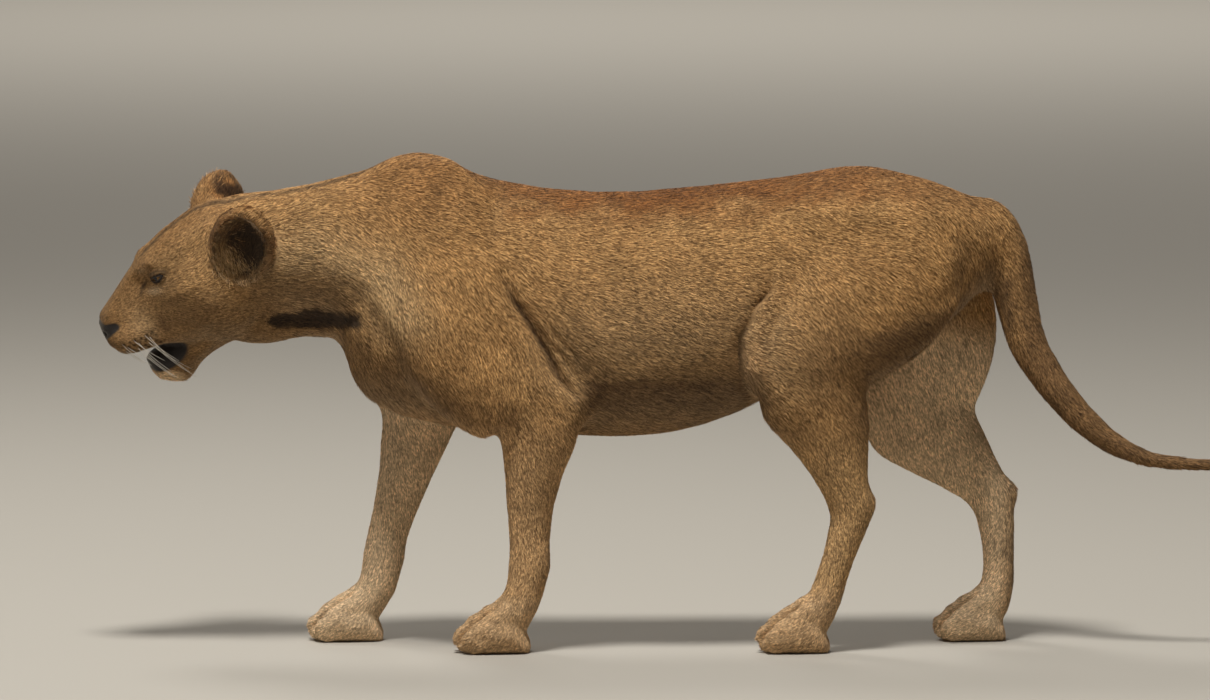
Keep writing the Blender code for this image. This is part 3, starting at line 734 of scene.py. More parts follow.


# the mouth: its lips are black of their own, its opening and the hollow behind are painted dark as shade
def mouthLipsAndShadeMask(spots, ways):
    side, ahead, up = np.abs(spots[:, 0]), spots[:, 1], spots[:, 2]
    place, radii = (mm(values) for values in faceMarks["mouth"])
    tilt = math.radians(faceMarks["mouthTilt"])
    cos, sin = math.cos(tilt), math.sin(tilt)
    away, rise = ahead - place[1], up - place[2]
    away, rise = away * cos + rise * sin, rise * cos - away * sin
    opening = (1 - smoothStep(np.hypot(away / radii[0], rise / radii[1]), 0.86, 1.02)) * (side < 0.07)
    # the roof, the bed and the back wall of the hollow behind it, all painted dark as shade
    inside = (ahead > -0.02) & (ahead < 0.105) & (up > -0.172)
    inside &= up < np.where(side < 0.026, -0.082, -0.098)
    roof = smoothStep(-ways[:, 2], 0.45, 0.8) * (up > -0.140)
    bed = smoothStep(ways[:, 2], 0.25, 0.6) * (up < -0.132)
    wall = (ahead < 0.078) * (side < 0.036) * (up < -0.104) * (up > -0.150)
    wall = wall * smoothStep(np.maximum(ways[:, 1], -ways[:, 2]), 0.05, 0.3)
    return np.maximum(opening, inside * (side < 0.046) * most(roof, bed, wall))


def noseMask(spots, fine):
    place, size = faceMarks["nose"]
    away = (spots - mm(place)) / mm(size)
    away[:, 0] *= 1 + faceMarks["noseTaper"] * np.clip(-away[:, 2] + 0.1, 0, 1.2)
    line, radius = faceMarks["philtrum"]
    leather = 1 - smoothStep(np.linalg.norm(away, axis=1) + 0.02 * fine, 0.93, 1.02)
    return np.maximum(leather, 0.8 * nearLine(spots, mm(line), mm(radius)))


# dark lines and spots, pale patches, shaded cheeks and grey sides of the muzzle
def faceMasks(spots):
    dark, pale, cheek, muzzle = (np.zeros(len(spots)) for _ in range(4))
    for side in (-1, 1):
        turn = np.array((side, 1, 1))

        def patch(key):
            place, radii = faceMarks[key]
            return bell(spots, mm(place) * turn, mm(radii))

        for key, strength in (("tearLine", 0.95), ("lidLine", 0.65)):
            line, radius = faceMarks[key]
            dark = np.maximum(dark, strength * nearLine(spots, mm(line) * turn, mm(radius)))
        for spot in whiskerSpots(side):
            gap = np.linalg.norm((spots - spot)[:, 1:], axis=1) / mm(whiskerRows["spot"])
            dark = np.maximum(dark, (spots[:, 0] * side > 0.018) * np.exp(-gap ** 2))
        pale = most(pale, 0.75 * patch("browPatch"), 0.9 * patch("underEye"))
        for key, strength in (("chin", 1.0), ("muzzleFront", 0.35)):
            pale = np.maximum(pale, strength * smoothStep(patch(key), 0.25, 0.6))
        cheek = np.maximum(cheek, 0.9 * patch("cheekShade"))
        muzzle = np.maximum(muzzle, 0.75 * patch("muzzleSide"))
    return dark, pale, cheek, muzzle


def innerLegs(points, normals):
    middle = np.zeros(len(points))
    for node in nodes:
        if node.startswith(("foreleg", "hindleg")):
            low, high = cornersOf(node)
            inside = np.all((points > low - 0.01) & (points < high + 0.01), axis=1)
            turn = -1 if "_left_" in node else 1
            middle = np.maximum(middle, inside * smoothStep(normals[:, 0] * turn, -0.1, 0.6))
    return middle


# painted shade in the deeper folds of the body, darker with their depth
def creaseShadeMask(points, normals):
    creaseShade = np.zeros(len(points))
    for side, radius, depth, line in bodyFolds:
        if depth > 2.2:
            gap, share = alongSide(points, line)
            facing = (normals[:, 0] * side > 0.1) & (points[:, 0] * side > 0.01)
            fold = facing * fadeEnds(share) * np.exp(-(gap / mm(radius) / 0.8) ** 2)
            creaseShade = np.maximum(creaseShade, fold * depth / 10)
    return creaseShade


def markings(points, normals):
    spots, ways = inHead(points), normals @ headAxes
    parts = partShares(points)
    head, face, ear, tail, leg, paw = (parts[key] for key in ("head", "face", "ear", "tail", "leg", "paw"))
    trunk = (1 - head) * (1 - leg)
    rump = (1 - leg) * (1 - tail)
    along = (points[:, 1] - cadLow[1]) / (cadHigh - cadLow)[1]
    height = points[:, 2] / cadHigh[2]
    near, toSide, upward = points[:, 0], normals[:, 0], normals[:, 2]
    ragged, fine = noise(points, 0.030, 3), noise(points, 0.009, 5)

    # head
    inner, earBack, earHeight, earDepth = earMasks(spots, ways, ear)
    mouth = head * mouthLipsAndShadeMask(spots, ways)
    leather = head * noseMask(spots, fine)
    dark, pale, cheek, muzzle = (head * mask for mask in faceMasks(spots))
    place, radii = faceMarks["chin"]
    chin = head * smoothStep(bell(spots, mm(place), mm(radii)), 0.20, 0.55)
    throat = head * smoothStep(-ways[:, 2], 0.1, 0.8) * 0.55
    # painted shade where the face turns downwards
    lowFaceShade = head * smoothStep(-ways[:, 2] + 0.08 * ragged, 0.0, 0.6) * 0.65
    lidGaps = np.minimum(*[lidGap(points, eyeSpot(turn), eyeAxes(turn))
                           + (np.linalg.norm(points - eyeSpot(turn), axis=1) > eyeRadius + 0.0032)
                           for turn in (1, -1)])
    core = inner * smoothStep(earDepth + 0.004 * fine, -0.016, 0.004)
    earPatch = earBack * smoothStep(earHeight + 0.003 * fine, 0.026, 0.034)
    earPatch *= 1 - smoothStep(earHeight, 0.050, 0.056)
    earBase = earBack * np.exp(-((earHeight + 0.016) / 0.008) ** 2)

    # paler underneath, inside the legs, on the paws and the knee; the far foreleg and the inner sides of the
    # far legs are made paler still as painted light, where the body shades them
    under = smoothStep(-upward, 0.25, 0.85) * rump * (1 - head)
    # inner sides of the legs: their own paler fur, raised further as painted light on the far legs
    innerLegPaleAndLight = innerLegs(points, normals) * (1 - tail) * (1 - smoothStep(height, 0.58, 0.68))
    # the far foreleg is made paler as painted light
    forearmPaleAndFarLight = leg * (along < 0.48) * (0.25 + 0.60 * (near < 0))
    knee = sideBell(points, *bodyMarks["knee"]) * (near > 0.03)
    pale = most(pale, throat * 0.5, under * 0.30, innerLegPaleAndLight * 0.95, forearmPaleAndFarLight, paw * 0.45, knee * 0.22)

    # redder along the back, on the hump, the crown and the ears
    saddle = 0.50 + 0.42 * np.exp(-((along - 0.46) / 0.19) ** 2)
    edge = smoothStep(upward + 0.12 * ragged + 0.10 * fine, 0.52, 0.92)
    back = trunk * (1 - tail) * between(along, 0.21, 0.34, 0.58, 0.84) * edge * saddle
    hump = np.exp(-((along - 0.265) / 0.06) ** 2) * smoothStep(height, 0.80, 0.97) * (upward > -0.2)
    crown = head * smoothStep(ways[:, 2], 0.35, 0.9) * (1 - face)
    red = most(back, hump * 0.45 * trunk, crown * 0.20, ear * 0.55 * (1 - inner))

    # the dark line from the brow to the withers
    line = [fromHead(mm(spot)) for spot in faceMarks["crown"]]
    line += [(mm(across), inSide((share, 0))[0], 0) for across, share in bodyMarks["nape"]]
    gap = alongLine(points * (1, 1, 0), np.array(line) * (1, 1, 0))[0] + 0.0025 * fine
    topLine = np.exp(-(gap / 0.0065) ** 2) * smoothStep(upward, 0.25, 0.5) * (1 - ear)
    topLine *= 1 - smoothStep(along, 0.215, 0.265)

    # the neck's shaded hollow, ragged above and sharp below
    gap, share = alongSide(points, bodyMarks["hollow"])
    thick = 0.012 + 0.014 * np.sin(math.pi * np.clip(share, 0.0, 0.9)) ** 0.7
    hollow = np.exp(-(gap / thick) ** 2) * (toSide > 0.1) * (1 - tail)
    hollow *= smoothStep(height + 0.004 * fine, 0.640 + 0.012 * share, 0.646 + 0.012 * share)
    hollow = smoothStep(hollow + 0.30 * fine + 0.12 * ragged, 0.30, 0.75) * (hollow > 0.08)

    # greyer sides; on the lower flank the grey and brown are painted shade
    neckGap, flankGap = (alongSide(points, bodyMarks[key])[0] / mm(bodyMarks[key + "Radius"])
                         for key in ("neckGrey", "flankShadeGrey"))
    neckGrey = np.exp(-neckGap ** 2) * (1 - head * 0.7) * (upward < 0.75) * 0.9
    # painted shade: the lower flank is greyer and browner
    lowFlankShade = np.exp(-flankGap ** 2) * 0.60 * (1 - leg) * (1 - knee)
    shank = leg * (along > 0.48) * 0.5 * (1 - paw)
    grey = most(neckGrey, lowFlankShade, shank, head * 0.25 * smoothStep(np.abs(spots[:, 0]), 0.03, 0.06), muzzle)

    # painted shade: browner and darker below, in the creases and on the haunch
    # painted shade under the neck
    lowerNeckShade = smoothStep(-upward + 0.1 * ragged, -0.15, 0.5) * rump * (along < 0.30) * 0.7
    neckShade = sideBell(points, *bodyMarks["neckShade"]) * smoothStep(toSide, 0.0, 0.4)
    # painted shade along the belly, sharp at its top
    bellyShade = between(along, 0.375, 0.400, 0.515, 0.530) * rump
    bellyShade *= 1 - smoothStep(height + 0.010 * fine + 0.008 * ragged, 0.545, 0.585)
    # painted shade under the near thigh's edge, on the near side only
    edge = np.interp(along, *mm(bodyMarks["haunchShadeEdge"]))
    haunchShade = smoothStep(edge - height + 0.012 * fine + 0.010 * ragged, -0.005, 0.045)
    haunchShade *= smoothStep(height, 0.36, 0.52) * smoothStep(along, 0.575, 0.625) * (1 - tail)
    haunchShade *= smoothStep(toSide, -0.1, 0.3) * (near > 0.02)
    thigh = sideBell(points, *bodyMarks["thigh"]) * smoothStep(np.abs(near), 0.05, 0.1)
    creaseShade = creaseShadeMask(points, normals)
    # brown: the tail's own tone, the thigh patch, and painted shade under the ear, on the lower neck, lower
    # flank, belly and underside, cheeks, lower face, creases and haunch; over the head and face it is partly
    # their own duller tone and partly painted shade
    brown = most(tail * 0.85, thigh * 0.6, haunchShade * 0.85, neckShade * 0.75, lowFlankShade * 0.8, bellyShade, cheek,
                 lowerNeckShade, lowFaceShade, np.clip(creaseShade, 0, 0.85), head * 0.14, face * 0.48 * (1 - throat),
                 trunk * (1 - tail) * smoothStep(-upward, -0.1, 0.5) * 0.8)
    # a dark ring at the lids: their own black rims, widened as painted shade under the brow
    dark = most(dark, 1 - smoothStep(lidGaps, 0.0030, 0.0085), topLine * 0.66, hollow * 0.92,
                core * 0.95, inner * 0.45, earPatch * 0.85, earBase * 0.6)
    # more painted shade on the cheeks, lower face, lower neck, belly, haunch and deep creases; the tail's
    # tuft is dark of its own
    dark = most(dark, cheek * 0.16, lowFaceShade * 0.22, lowerNeckShade * 0.08, parts["tuft"] * 0.9, bellyShade * 0.22,
                haunchShade * 0.18, np.clip(creaseShade - 0.35, 0, 0.5) * 0.8)
    dark = np.clip(dark * (1 - mouth) * (1 - 0.8 * chin), 0, 1)
    # the mouth takes the leather colour: the lips' own black, and painted shade in the opening and hollow
    leather = np.maximum(leather, mouth)
    return {"red": red * (1 - leather), "pale": pale * (1 - 0.8 * dark), "grey": grey,
            "brown": brown * (1 - 0.85 * chin), "dark": dark, "leather": leather, "inner": inner,
            "bare": np.clip(np.maximum(leather, lidGaps < lidPlan["bare"]), 0, 1)}


skinPoints, skinNormals = pointsOf(skin.data), normalsOf(skin.data)
skinParts = partShares(skinPoints)
skinMarks = markings(skinPoints, skinNormals)
shownMarks = ("red", "pale", "grey", "brown", "dark", "leather")
for name in shownMarks:
    setMask(skin.data, name, skinMarks[name])
setMask(skin.data, "lot", 0.42 - 0.24 * np.exp(-((skinParts["ear"] - 0.5) / 0.3) ** 2))
setMask(skin.data, "tip", np.full(len(skinPoints), 0.15))
setMask(skin.data, "leg", skinParts["leg"])
print("markings laid")

# materials

coatColours = {
    "tan": (0.390, 0.190, 0.059),
    "red": (0.205, 0.070, 0.012),
    "bleached": (0.560, 0.368, 0.155),
    "pale": (0.700, 0.505, 0.300),
    "grey": (0.620, 0.410, 0.205),
    "brown": (0.170, 0.090, 0.036),
    "dark": (0.022, 0.012, 0.007),
    "leather": (0.014, 0.010, 0.009),
}
coatLook = {
    "patchSize": 17.0,
    "patchDepth": 0.34,
    "speckSize": 210.0,
    "speckDepth": 0.62,
    "bleach": 0.45,
    "lotDepth": 1.35,
    "tipLift": 0.40,
    "base": 0.33,
    "streakSize": 240.0,
    "lyingStretch": (1.0, 0.22, 0.8),
    "hangingStretch": (1.0, 0.8, 0.22),
    "poreSize": 900.0,
    "skinRelief": 0.0015,
    "furRoughness": 0.80,
    "leatherRoughness": 0.45,
}


class Tree:
    def __init__(self, tree):
        self.tree = tree

    def put(self, socket, value):
        if isinstance(value, bpy.types.NodeSocket):
            self.tree.links.new(value, socket)
        else:
            socket.default_value = value

    def add(self, kind, inputs=None, **values):
        node = self.tree.nodes.new(kind)
        for key, value in values.items():
            setattr(node, key, value)
        for key, value in (inputs or {}).items():
            self.put(node.inputs[key], value)
        return node

    def maths(self, operation, a, b, c=0.0):
        return self.add("ShaderNodeMath", {0: a, 1: b, 2: c}, operation=operation).outputs[0]

    def blend(self, share, a, b):
        a, b = ((*value, 1) if isinstance(value, tuple) else value for value in (a, b))
        return self.add("ShaderNodeMix", {0: share, 6: a, 7: b}, data_type="RGBA").outputs[2]

    def mask(self, name):
        return self.add("ShaderNodeAttribute", attribute_name=name).outputs["Fac"]

    def coords(self):
        return self.add("ShaderNodeTexCoord").outputs["Object"]

    def grain(self, coords, size, detail=2.0):
        inputs = {"Vector": coords, "Scale": size, "Detail": detail}
        return self.add("ShaderNodeTexNoise", inputs).outputs["Fac"]

    def shaded(self, colour, value):
        return self.add("ShaderNodeHueSaturation", {"Color": colour, "Value": value}).outputs["Color"]


def newMaterial(name):
    material = bpy.data.materials.new(name)
    material.use_nodes = True
    return material, Tree(material.node_tree)


def setShader(material, inputs):
    for key, value in inputs.items():
        Tree(material.node_tree).put(material.node_tree.nodes["Principled BSDF"].inputs[key], value)
    return material


def plainMaterial(name, colour, roughness):
    return setShader(newMaterial(name)[0], {"Base Color": (*colour, 1), "Roughness": roughness})


def coatGroup():
    group = bpy.data.node_groups.new("lionCoat", "ShaderNodeTree")
    for name in ("Speckle", "Mottle"):
        group.interface.new_socket(name, in_out="INPUT", socket_type="NodeSocketFloat")
    for name, kind in (("Color", "Color"), ("Roughness", "Float"), ("Height", "Float")):
        group.interface.new_socket(name, in_out="OUTPUT", socket_type="NodeSocket" + kind)
    tree = Tree(group)
    coords = tree.coords()
    colour = coatColours["tan"]
    bleached = tree.maths("MULTIPLY", tree.mask("lot"), coatLook["bleach"])
    for name in ("grey", "bleached", "red", "brown", "pale", "dark"):
        share = bleached if name == "bleached" else tree.mask(name)
        colour = tree.blend(share, colour, coatColours[name])
    depths = tree.add("NodeGroupInput").outputs

    # a value that swings about 1 by a depth
    def swing(grain, depth):
        return tree.maths("MULTIPLY_ADD", tree.maths("MULTIPLY_ADD", grain, 2.0, -1.0), depth, 1.0)

    patch = swing(tree.grain(coords, coatLook["patchSize"], 4.0), depths["Mottle"])
    speck = swing(tree.grain(coords, coatLook["speckSize"]), depths["Speckle"])
    lot = tree.maths("MULTIPLY_ADD", tree.mask("lot"), coatLook["lotDepth"], coatLook["base"])
    tip = tree.maths("MULTIPLY_ADD", tree.mask("tip"), coatLook["tipLift"], 1 - coatLook["tipLift"] / 2)
    value = tree.maths("MULTIPLY", tree.maths("MULTIPLY", patch, speck), tree.maths("MULTIPLY", lot, tip))
    leather = tree.mask("leather")
    rough = tree.add("ShaderNodeMapRange", {"Value": leather, "To Min": coatLook["furRoughness"],
                                            "To Max": coatLook["leatherRoughness"]}).outputs[0]

    # fine relief: streaks that lie along the body and hang down the legs, pores on bare skin
    def streaks(scale):
        turned = tree.add("ShaderNodeMapping", {"Vector": coords, "Scale": scale}).outputs[0]
        return tree.grain(turned, coatLook["streakSize"], 3.0)

    lying, hanging = streaks(coatLook["lyingStretch"]), streaks(coatLook["hangingStretch"])
    streak = tree.add("ShaderNodeMix", {0: tree.mask("leg"), 2: lying, 3: hanging}).outputs[0]
    pores = tree.grain(coords, coatLook["poreSize"], 1.0)
    height = tree.add("ShaderNodeMix", {0: leather, 2: streak, 3: pores}).outputs[0]
    colour = tree.blend(leather, tree.shaded(colour, value), coatColours["leather"])
    tree.add("NodeGroupOutput", {"Color": colour, "Roughness": rough, "Height": height})
    return group


def coatMaterial(name, group, bump):
    material, tree = newMaterial(name)
    coat = tree.add("ShaderNodeGroup", node_tree=group)
    coat.inputs["Speckle"].default_value = coatLook["speckDepth"]
    coat.inputs["Mottle"].default_value = coatLook["patchDepth"]
    setShader(material, {"Base Color": coat.outputs["Color"], "Roughness": coat.outputs["Roughness"],
                         "Specular IOR Level": 0.28, "Sheen Weight": 0.10, "Sheen Roughness": 0.5,
                         "Sheen Tint": (1.0, 0.82, 0.6, 1)})
    if bump:
        inputs = {"Height": coat.outputs["Height"], "Strength": 0.7, "Distance": bump}
        relief = tree.add("ShaderNodeBump", inputs)
        setShader(material, {"Normal": relief.outputs[0]})
    return material


lionCoat = coatGroup()
skin.data.materials.append(coatMaterial("lionSkin", lionCoat, coatLook["skinRelief"]))
tuftFur = coatMaterial("tuftFur", lionCoat, 0)

# lie of the coat

# by node: shares along and up its box, and how far the hair points back and up there
middleGuides = {
    "trunk": ((0.10, 1.0, 1, -0.05), (0.45, 0.85, 1, 0), (0.85, 1.0, 1, -0.10), (0.30, 0.05, 1, 0.05),
              (0.65, 0.02, 1, 0.08), (0.0, 0.25, 0.45, -1)),
    "neck": ((0.5, 1.0, 1, 0.15), (0.4, 0.0, 1, -0.25)),
    "tail_root": ((0.1, 0.9, 0.45, -1), (0.9, 0.1, 0.6, -1)),
    "tail_middle": ((0.1, 0.9, 0.45, -1), (0.9, 0.1, 0.6, -1)),
    "tail_end": ((0.1, 0.8, 1, -0.8), (0.8, 0.2, 1, -0.25)),
    "tail_tuft": ((0.3, 0.5, 1, 0.05),),
}
for limb, lean in (("foreleg", 0.25), ("hindleg", 0.35)):
    for side in ("left", "right"):
        middleGuides[f"{limb}_{side}_upper"] = ((0.5, 0.5, lean, -1),)
        middleGuides[f"{limb}_{side}_lower"] = ((0.5, 0.8, lean, -1), (0.5, 0.2, lean * 0.4, -1))
        middleGuides[f"{limb}_{side}_paw"] = ((0.7, 0.9, -0.5, -1), (0.2, 0.6, -1, -0.4))
# the same on both sides of the box
sideGuides = {
    "neck": ((0.2, 0.55, 1, -0.55), (0.8, 0.55, 1, -0.60)),
    "trunk": ((0.06, 0.75, 0.9, -0.6), (0.1, 0.45, 0.5, -1), (0.2, 0.8, 1, -0.35), (0.22, 0.5, 0.7, -0.9),
              (0.38, 0.75, 1, -0.25), (0.40, 0.40, 1, -0.45), (0.58, 0.70, 1, -0.2), (0.60, 0.35, 1, -0.3),
              (0.76, 0.75, 1, -0.35), (0.78, 0.4, 0.8, -0.8), (0.95, 0.7, 0.8, -0.7), (0.92, 0.35, 0.5, -1)),
}
# places in millimetres and ways, both in the head's axes; all are mirrored
headGuides = (
    ((0, 100, -30), (0, -1, 0.3)), ((0, 50, 10), (0, -1, 0.4)), ((0, 0, 45), (0, -1, 0.3)),
    ((0, -80, 60), (0, -1, 0.05)), ((0, -150, 65), (0, -1, -0.1)), ((0, 60, -195), (0, -1, -0.15)),
    ((0, -20, -180), (0, -1, -0.05)),
    ((30, 100, -70), (0.5, -0.9, -0.35)), ((38, 80, -100), (0.2, -0.8, -0.6)),
    ((50, 30, -75), (0.3, -0.9, -0.35)), ((85, -50, -60), (0.1, -0.9, -0.45)),
    ((80, -80, -130), (0, -0.9, -0.45)), ((45, 20, -150), (0.1, -0.9, -0.40)),
    ((48, 5, 28), (0.4, -0.8, 0.5)), ((60, 5, -30), (0.4, -0.85, -0.35)),
    ((70, -40, 0), (0.3, -0.95, -0.1)), ((50, -60, 45), (0.3, -0.9, 0.3)),
    ((92, -110, -10), (0.3, -0.7, 0.5)), ((95, -120, -80), (0.1, -0.8, -0.6)),
)


def guideField():
    places, ways = [], []
    for shares, guides in (((0.5,), middleGuides), ((0.0, 1.0), sideGuides)):
        for node, rows in guides.items():
            for along, up, back, rise in rows:
                places += [inBox(node, (across, along, up)) for across in shares]
                ways += [unit((0, back, rise))] * len(shares)
    for side in (-1, 1):
        turn = np.array((side, 1, 1))
        for place, way in headGuides:
            if side > 0 or place[0]:
                places.append(fromHead(mm(place) * turn))
                ways.append(wayFromHead(unit(way * turn)))
        centre, tip, opening = earAxes(side)
        for lift in (0.0, 0.035):
            places.append(fromHead(centre + tip * lift - opening * 0.012))
            ways.append(wayFromHead(tip))
    return zip(places, ways)


# how softly the guides blend, and swirls in degrees and metres
liePlan = {"blend": 0.0006, "swirl": 13, "swirlSize": 0.055, "ruffle": 9, "ruffleSize": 0.018}


def lieOf(points, normals):
    total = np.zeros_like(points)
    for place, way in guideField():
        near = 1 / (((points - place) ** 2).sum(1) + liePlan["blend"]) ** 2
        total += near[:, None] * way
    total = unit(total)
    flat = unit(total - normals * (total * normals).sum(1, keepdims=True))
    turn = np.radians(liePlan["swirl"]) * noise(points, liePlan["swirlSize"], 11)
    turn += np.radians(liePlan["ruffle"]) * noise(points, liePlan["ruffleSize"], 12)
    side = np.cross(normals, flat)
    return flat * np.cos(turn)[:, None] + side * np.sin(turn)[:, None]


# tufts

# length, width, lift in degrees, tufts per square centimetre
tuftStyles = {
    "body": (0.0130, 0.00130, 9.0, 24.2),
    "leg": (0.0090, 0.00117, 8.0, 25.0),
    "paw": (0.0060, 0.00100, 8.0, 32.0),
    "head": (0.0085, 0.00100, 9.0, 46.0),
    "face": (0.0055, 0.00085, 9.0, 72.0),
    "ear": (0.0085, 0.00100, 12.0, 44.0),
    "tail": (0.0130, 0.00135, 10.0, 34.0),
    "under": (0.0190, 0.00135, 15.0, 24.0),
    "chin": (0.0110, 0.00095, 18.0, 55.0),
}
tuftPlan = {
    "lengthSpread": 0.35,
    "liftSpread": (0.6, 1.4),
    "turnSpread": 9.0,
    "rollSpread": 22.0,
    "sunk": 0.018,
    "lowest": 0.0006,
    "soleHeight": 0.004,
    "patch": 0.0030,
    "quickShare": 0.35,
    "shareLimit": 96000,
}


def styleOf(points, normals, parts):
    trunk = (1 - parts["head"]) * (1 - parts["tail"]) * (1 - parts["leg"])
    below = smoothStep(-normals[:, 2], 0.2, 0.8) * trunk
    chin = parts["head"] * bell(inHead(points), mm((0, 50, -190)), mm((50, 50, 22)))
    shares = {**parts, "under": below, "chin": chin}
    style = np.tile(np.array(tuftStyles["body"]), (len(points), 1))
    for name in ("under", "leg", "head", "face", "chin", "tail", "ear", "paw"):
        style += (np.array(tuftStyles[name]) - style) * shares[name][:, None]
    return style


def unwrapSkin():
    bpy.context.view_layer.objects.active = skin
    skin.select_set(True)
    bpy.ops.object.mode_set(mode="EDIT")
    bpy.ops.mesh.select_all(action="SELECT")
    bpy.ops.uv.smart_project(angle_limit=math.radians(66), island_margin=0.002)
    bpy.ops.object.mode_set(mode="OBJECT")
    skin.data.uv_layers[0].name = "OFBake"


unwrapSkin()
print("skin unwrapped")

def triangleData(key):
    values = np.empty(len(skin.data.loop_triangles) * 3, np.int32)
    skin.data.loop_triangles.foreach_get(key, values)
    return values.reshape(-1, 3)


skin.data.calc_loop_triangles()
skinTriangles = triangleData("vertices")
skinUnwrap = np.empty(len(skin.data.loops) * 2, np.float32)
skin.data.uv_layers["OFBake"].data.foreach_get("uv", skinUnwrap)
skinUnwrap = skinUnwrap.reshape(-1, 2)[triangleData("loops")]
skinStyles = styleOf(skinPoints, skinNormals, skinParts)
skinLie = lieOf(skinPoints, skinNormals)


def coatRegion(points, parts):
    low, high = cornersOf("trunk")
    share = (points[:, 1] - low[1]) / (high - low)[1]
    side = np.where(points[:, 0] > 0, "Left", "Right")
    limb = np.where(share < 0.5, "coatForeleg", "coatHindleg")
    names = np.where(share > 0.62, "coatHip", np.where(share > 0.28, "coatFlank", "coatShoulder"))
    names = np.char.add(names, side)
    names[share < 0.02] = "coatNeck"
    names = np.where(points[:, 2] < inBox("trunk", (0, 0, 0.16))[2], np.char.add(limb, side), names)
    for part, level in (("head", 0.5), ("face", 0.5), ("ear", 0.4), ("tail", 0.5)):
        names[parts[part] > level] = "coatEars" if part == "ear" else "coat" + part.capitalize()
    return names


# a tuft is a kite of two triangles, or of four when it is long; each corner has shares of its length
# forward and up, of its half width and of the way to the tip, and its place in the bake patch
shortKite = (
    ((0, 0, 0, 0, (0, -1)), (0.38, 0.418, -1, 0.38, (-1, 0)), (0.38, 0.418, 1, 0.38, (1, 0)),
     (1, 0.78, 0, 1, (0, 1))),
    ((0, 2, 1), (1, 2, 3)),
)
longKite = (
    ((0, 0, 0, 0, (0, -1)), (0.38, 0.418, -1, 0.38, (-1, -0.3)), (0.38, 0.418, 1, 0.38, (1, -0.3)),
     (0.72, 0.70, -0.6, 0.72, (-0.6, 0.4)), (0.72, 0.70, 0.6, 0.72, (0.6, 0.4)),
     (1, 0.78, 0, 1, (0, 1))),
    ((0, 2, 1), (1, 2, 4), (1, 4, 3), (3, 4, 5)),
)


# random places on the faces, as corners and shares of each
def scatter(faces, weights, count):
    drawn = np.searchsorted(np.cumsum(weights) / weights.sum(), random.random(count))
    chosen = faces[drawn.clip(0, len(faces) - 1)]
    share = random.random((count, 2))
    over = share.sum(1) > 1
    share[over] = 1 - share[over]
    return chosen, np.c_[share, 1 - share.sum(1)]


def growTufts(name, faces, weights, count, slotName, change=None, kite=shortKite):
    chosen, share = scatter(faces, weights, count)

    def spread(values):
        return (values[skinTriangles[chosen]] * (share[:, :, None] if values.ndim > 1 else share)).sum(1)

    root, normal = spread(skinPoints), unit(spread(skinNormals))
    lie, style = unit(spread(skinLie)), spread(skinStyles)
    uv = (skinUnwrap[chosen] * share[:, :, None]).sum(1)
    marks = {key: spread(skinMarks[key]) for key in shownMarks}
    length, width, lift = style[:, 0], style[:, 1], np.radians(style[:, 2])
    length = length * (1 + tuftPlan["lengthSpread"] * random.uniform(-1, 1, count))
    lot = random.random(count)
    if change:
        lie, length, width, lift = change(root, marks)
    lie = unit(lie - normal * (lie * normal).sum(1, keepdims=True) * 0.999)
    turn = np.radians(tuftPlan["turnSpread"]) * random.standard_normal(count)
    way = lie * np.cos(turn)[:, None] + np.cross(normal, lie) * np.sin(turn)[:, None]
    roll = np.radians(tuftPlan["rollSpread"]) * random.uniform(-1, 1, count)
    across = unit(np.cross(normal, way)) * np.cos(roll)[:, None] + normal * np.sin(roll)[:, None]
    lift = lift * random.uniform(*tuftPlan["liftSpread"], count)
    forward = way * (np.cos(lift) * length)[:, None]
    upward = normal * (np.sin(lift) * length)[:, None]
    half = across * (width / 2)[:, None]
    root = root - normal * (tuftPlan["sunk"] * length)[:, None]

    corners, pattern = kite
    spots = np.stack([root + forward * ahead + upward * rise + half * side
                      for ahead, rise, side, tip, place in corners], 1)
    spots[..., 2] = np.maximum(spots[..., 2], tuftPlan["lowest"])
    size = len(corners)
    triangles = (np.arange(count)[:, None, None] * size + np.array(pattern)[None]).reshape(-1, 3)
    mesh = newMesh(name, spots.reshape(-1, 3), triangles)
    for key, values in {**marks, "lot": lot}.items():
        setMask(mesh, key, np.repeat(values, size))
    setMask(mesh, "tip", np.tile([corner[3] for corner in corners], count))
    patch = np.array([corner[4] for corner in corners]) * (tuftPlan["patch"] / 2)
    places = (uv[:, None, :] + patch[None]).reshape(-1, 2)
    layer = mesh.uv_layers.new(name="OFBake")
    layer.data.foreach_set("uv", places[triangles.ravel()].astype(np.float32).ravel())
    mesh.materials.append(tuftFur)
    addPiece(name, mesh, slotName)
    print(name, len(triangles), "faces")


def meanOf(values):
    return values[skinTriangles].mean(1)


firstCorner, secondCorner, thirdCorner = (skinPoints[skinTriangles[:, i]] for i in range(3))
skinAreas = np.linalg.norm(np.cross(secondCorner - firstCorner, thirdCorner - firstCorner), axis=1) / 2
middles = meanOf(skinPoints)
middleParts = {key: meanOf(values) for key, values in skinParts.items()}
regionNames = coatRegion(middles, middleParts)
# tufts per square metre: more at the ears' rims, none on bare skin, soles and the tail's end
density = meanOf(skinStyles[:, 3]) * 1e4 * (1 + 0.5 * np.exp(-((middleParts["ear"] - 0.5) / 0.3) ** 2))
density *= (1 - meanOf(skinMarks["bare"])) * (middles[:, 2] >= tuftPlan["soleHeight"])
density *= middleParts["tuft"] < 0.9


def coatBody():
    share = 1
    for name in sorted(set(regionNames)):
        faces = np.nonzero(regionNames == name)[0]
        weights = skinAreas[faces] * density[faces]
        count = min(int(weights.sum()), tuftPlan["shareLimit"])
        if count < weights.sum():
            print(name, "is thinned to", count, "of", int(weights.sum()))
        growTufts(name, faces, weights, int(count * share), "tail_coat" if name == "coatTail" else "coat")


coatBody()

# longer hair

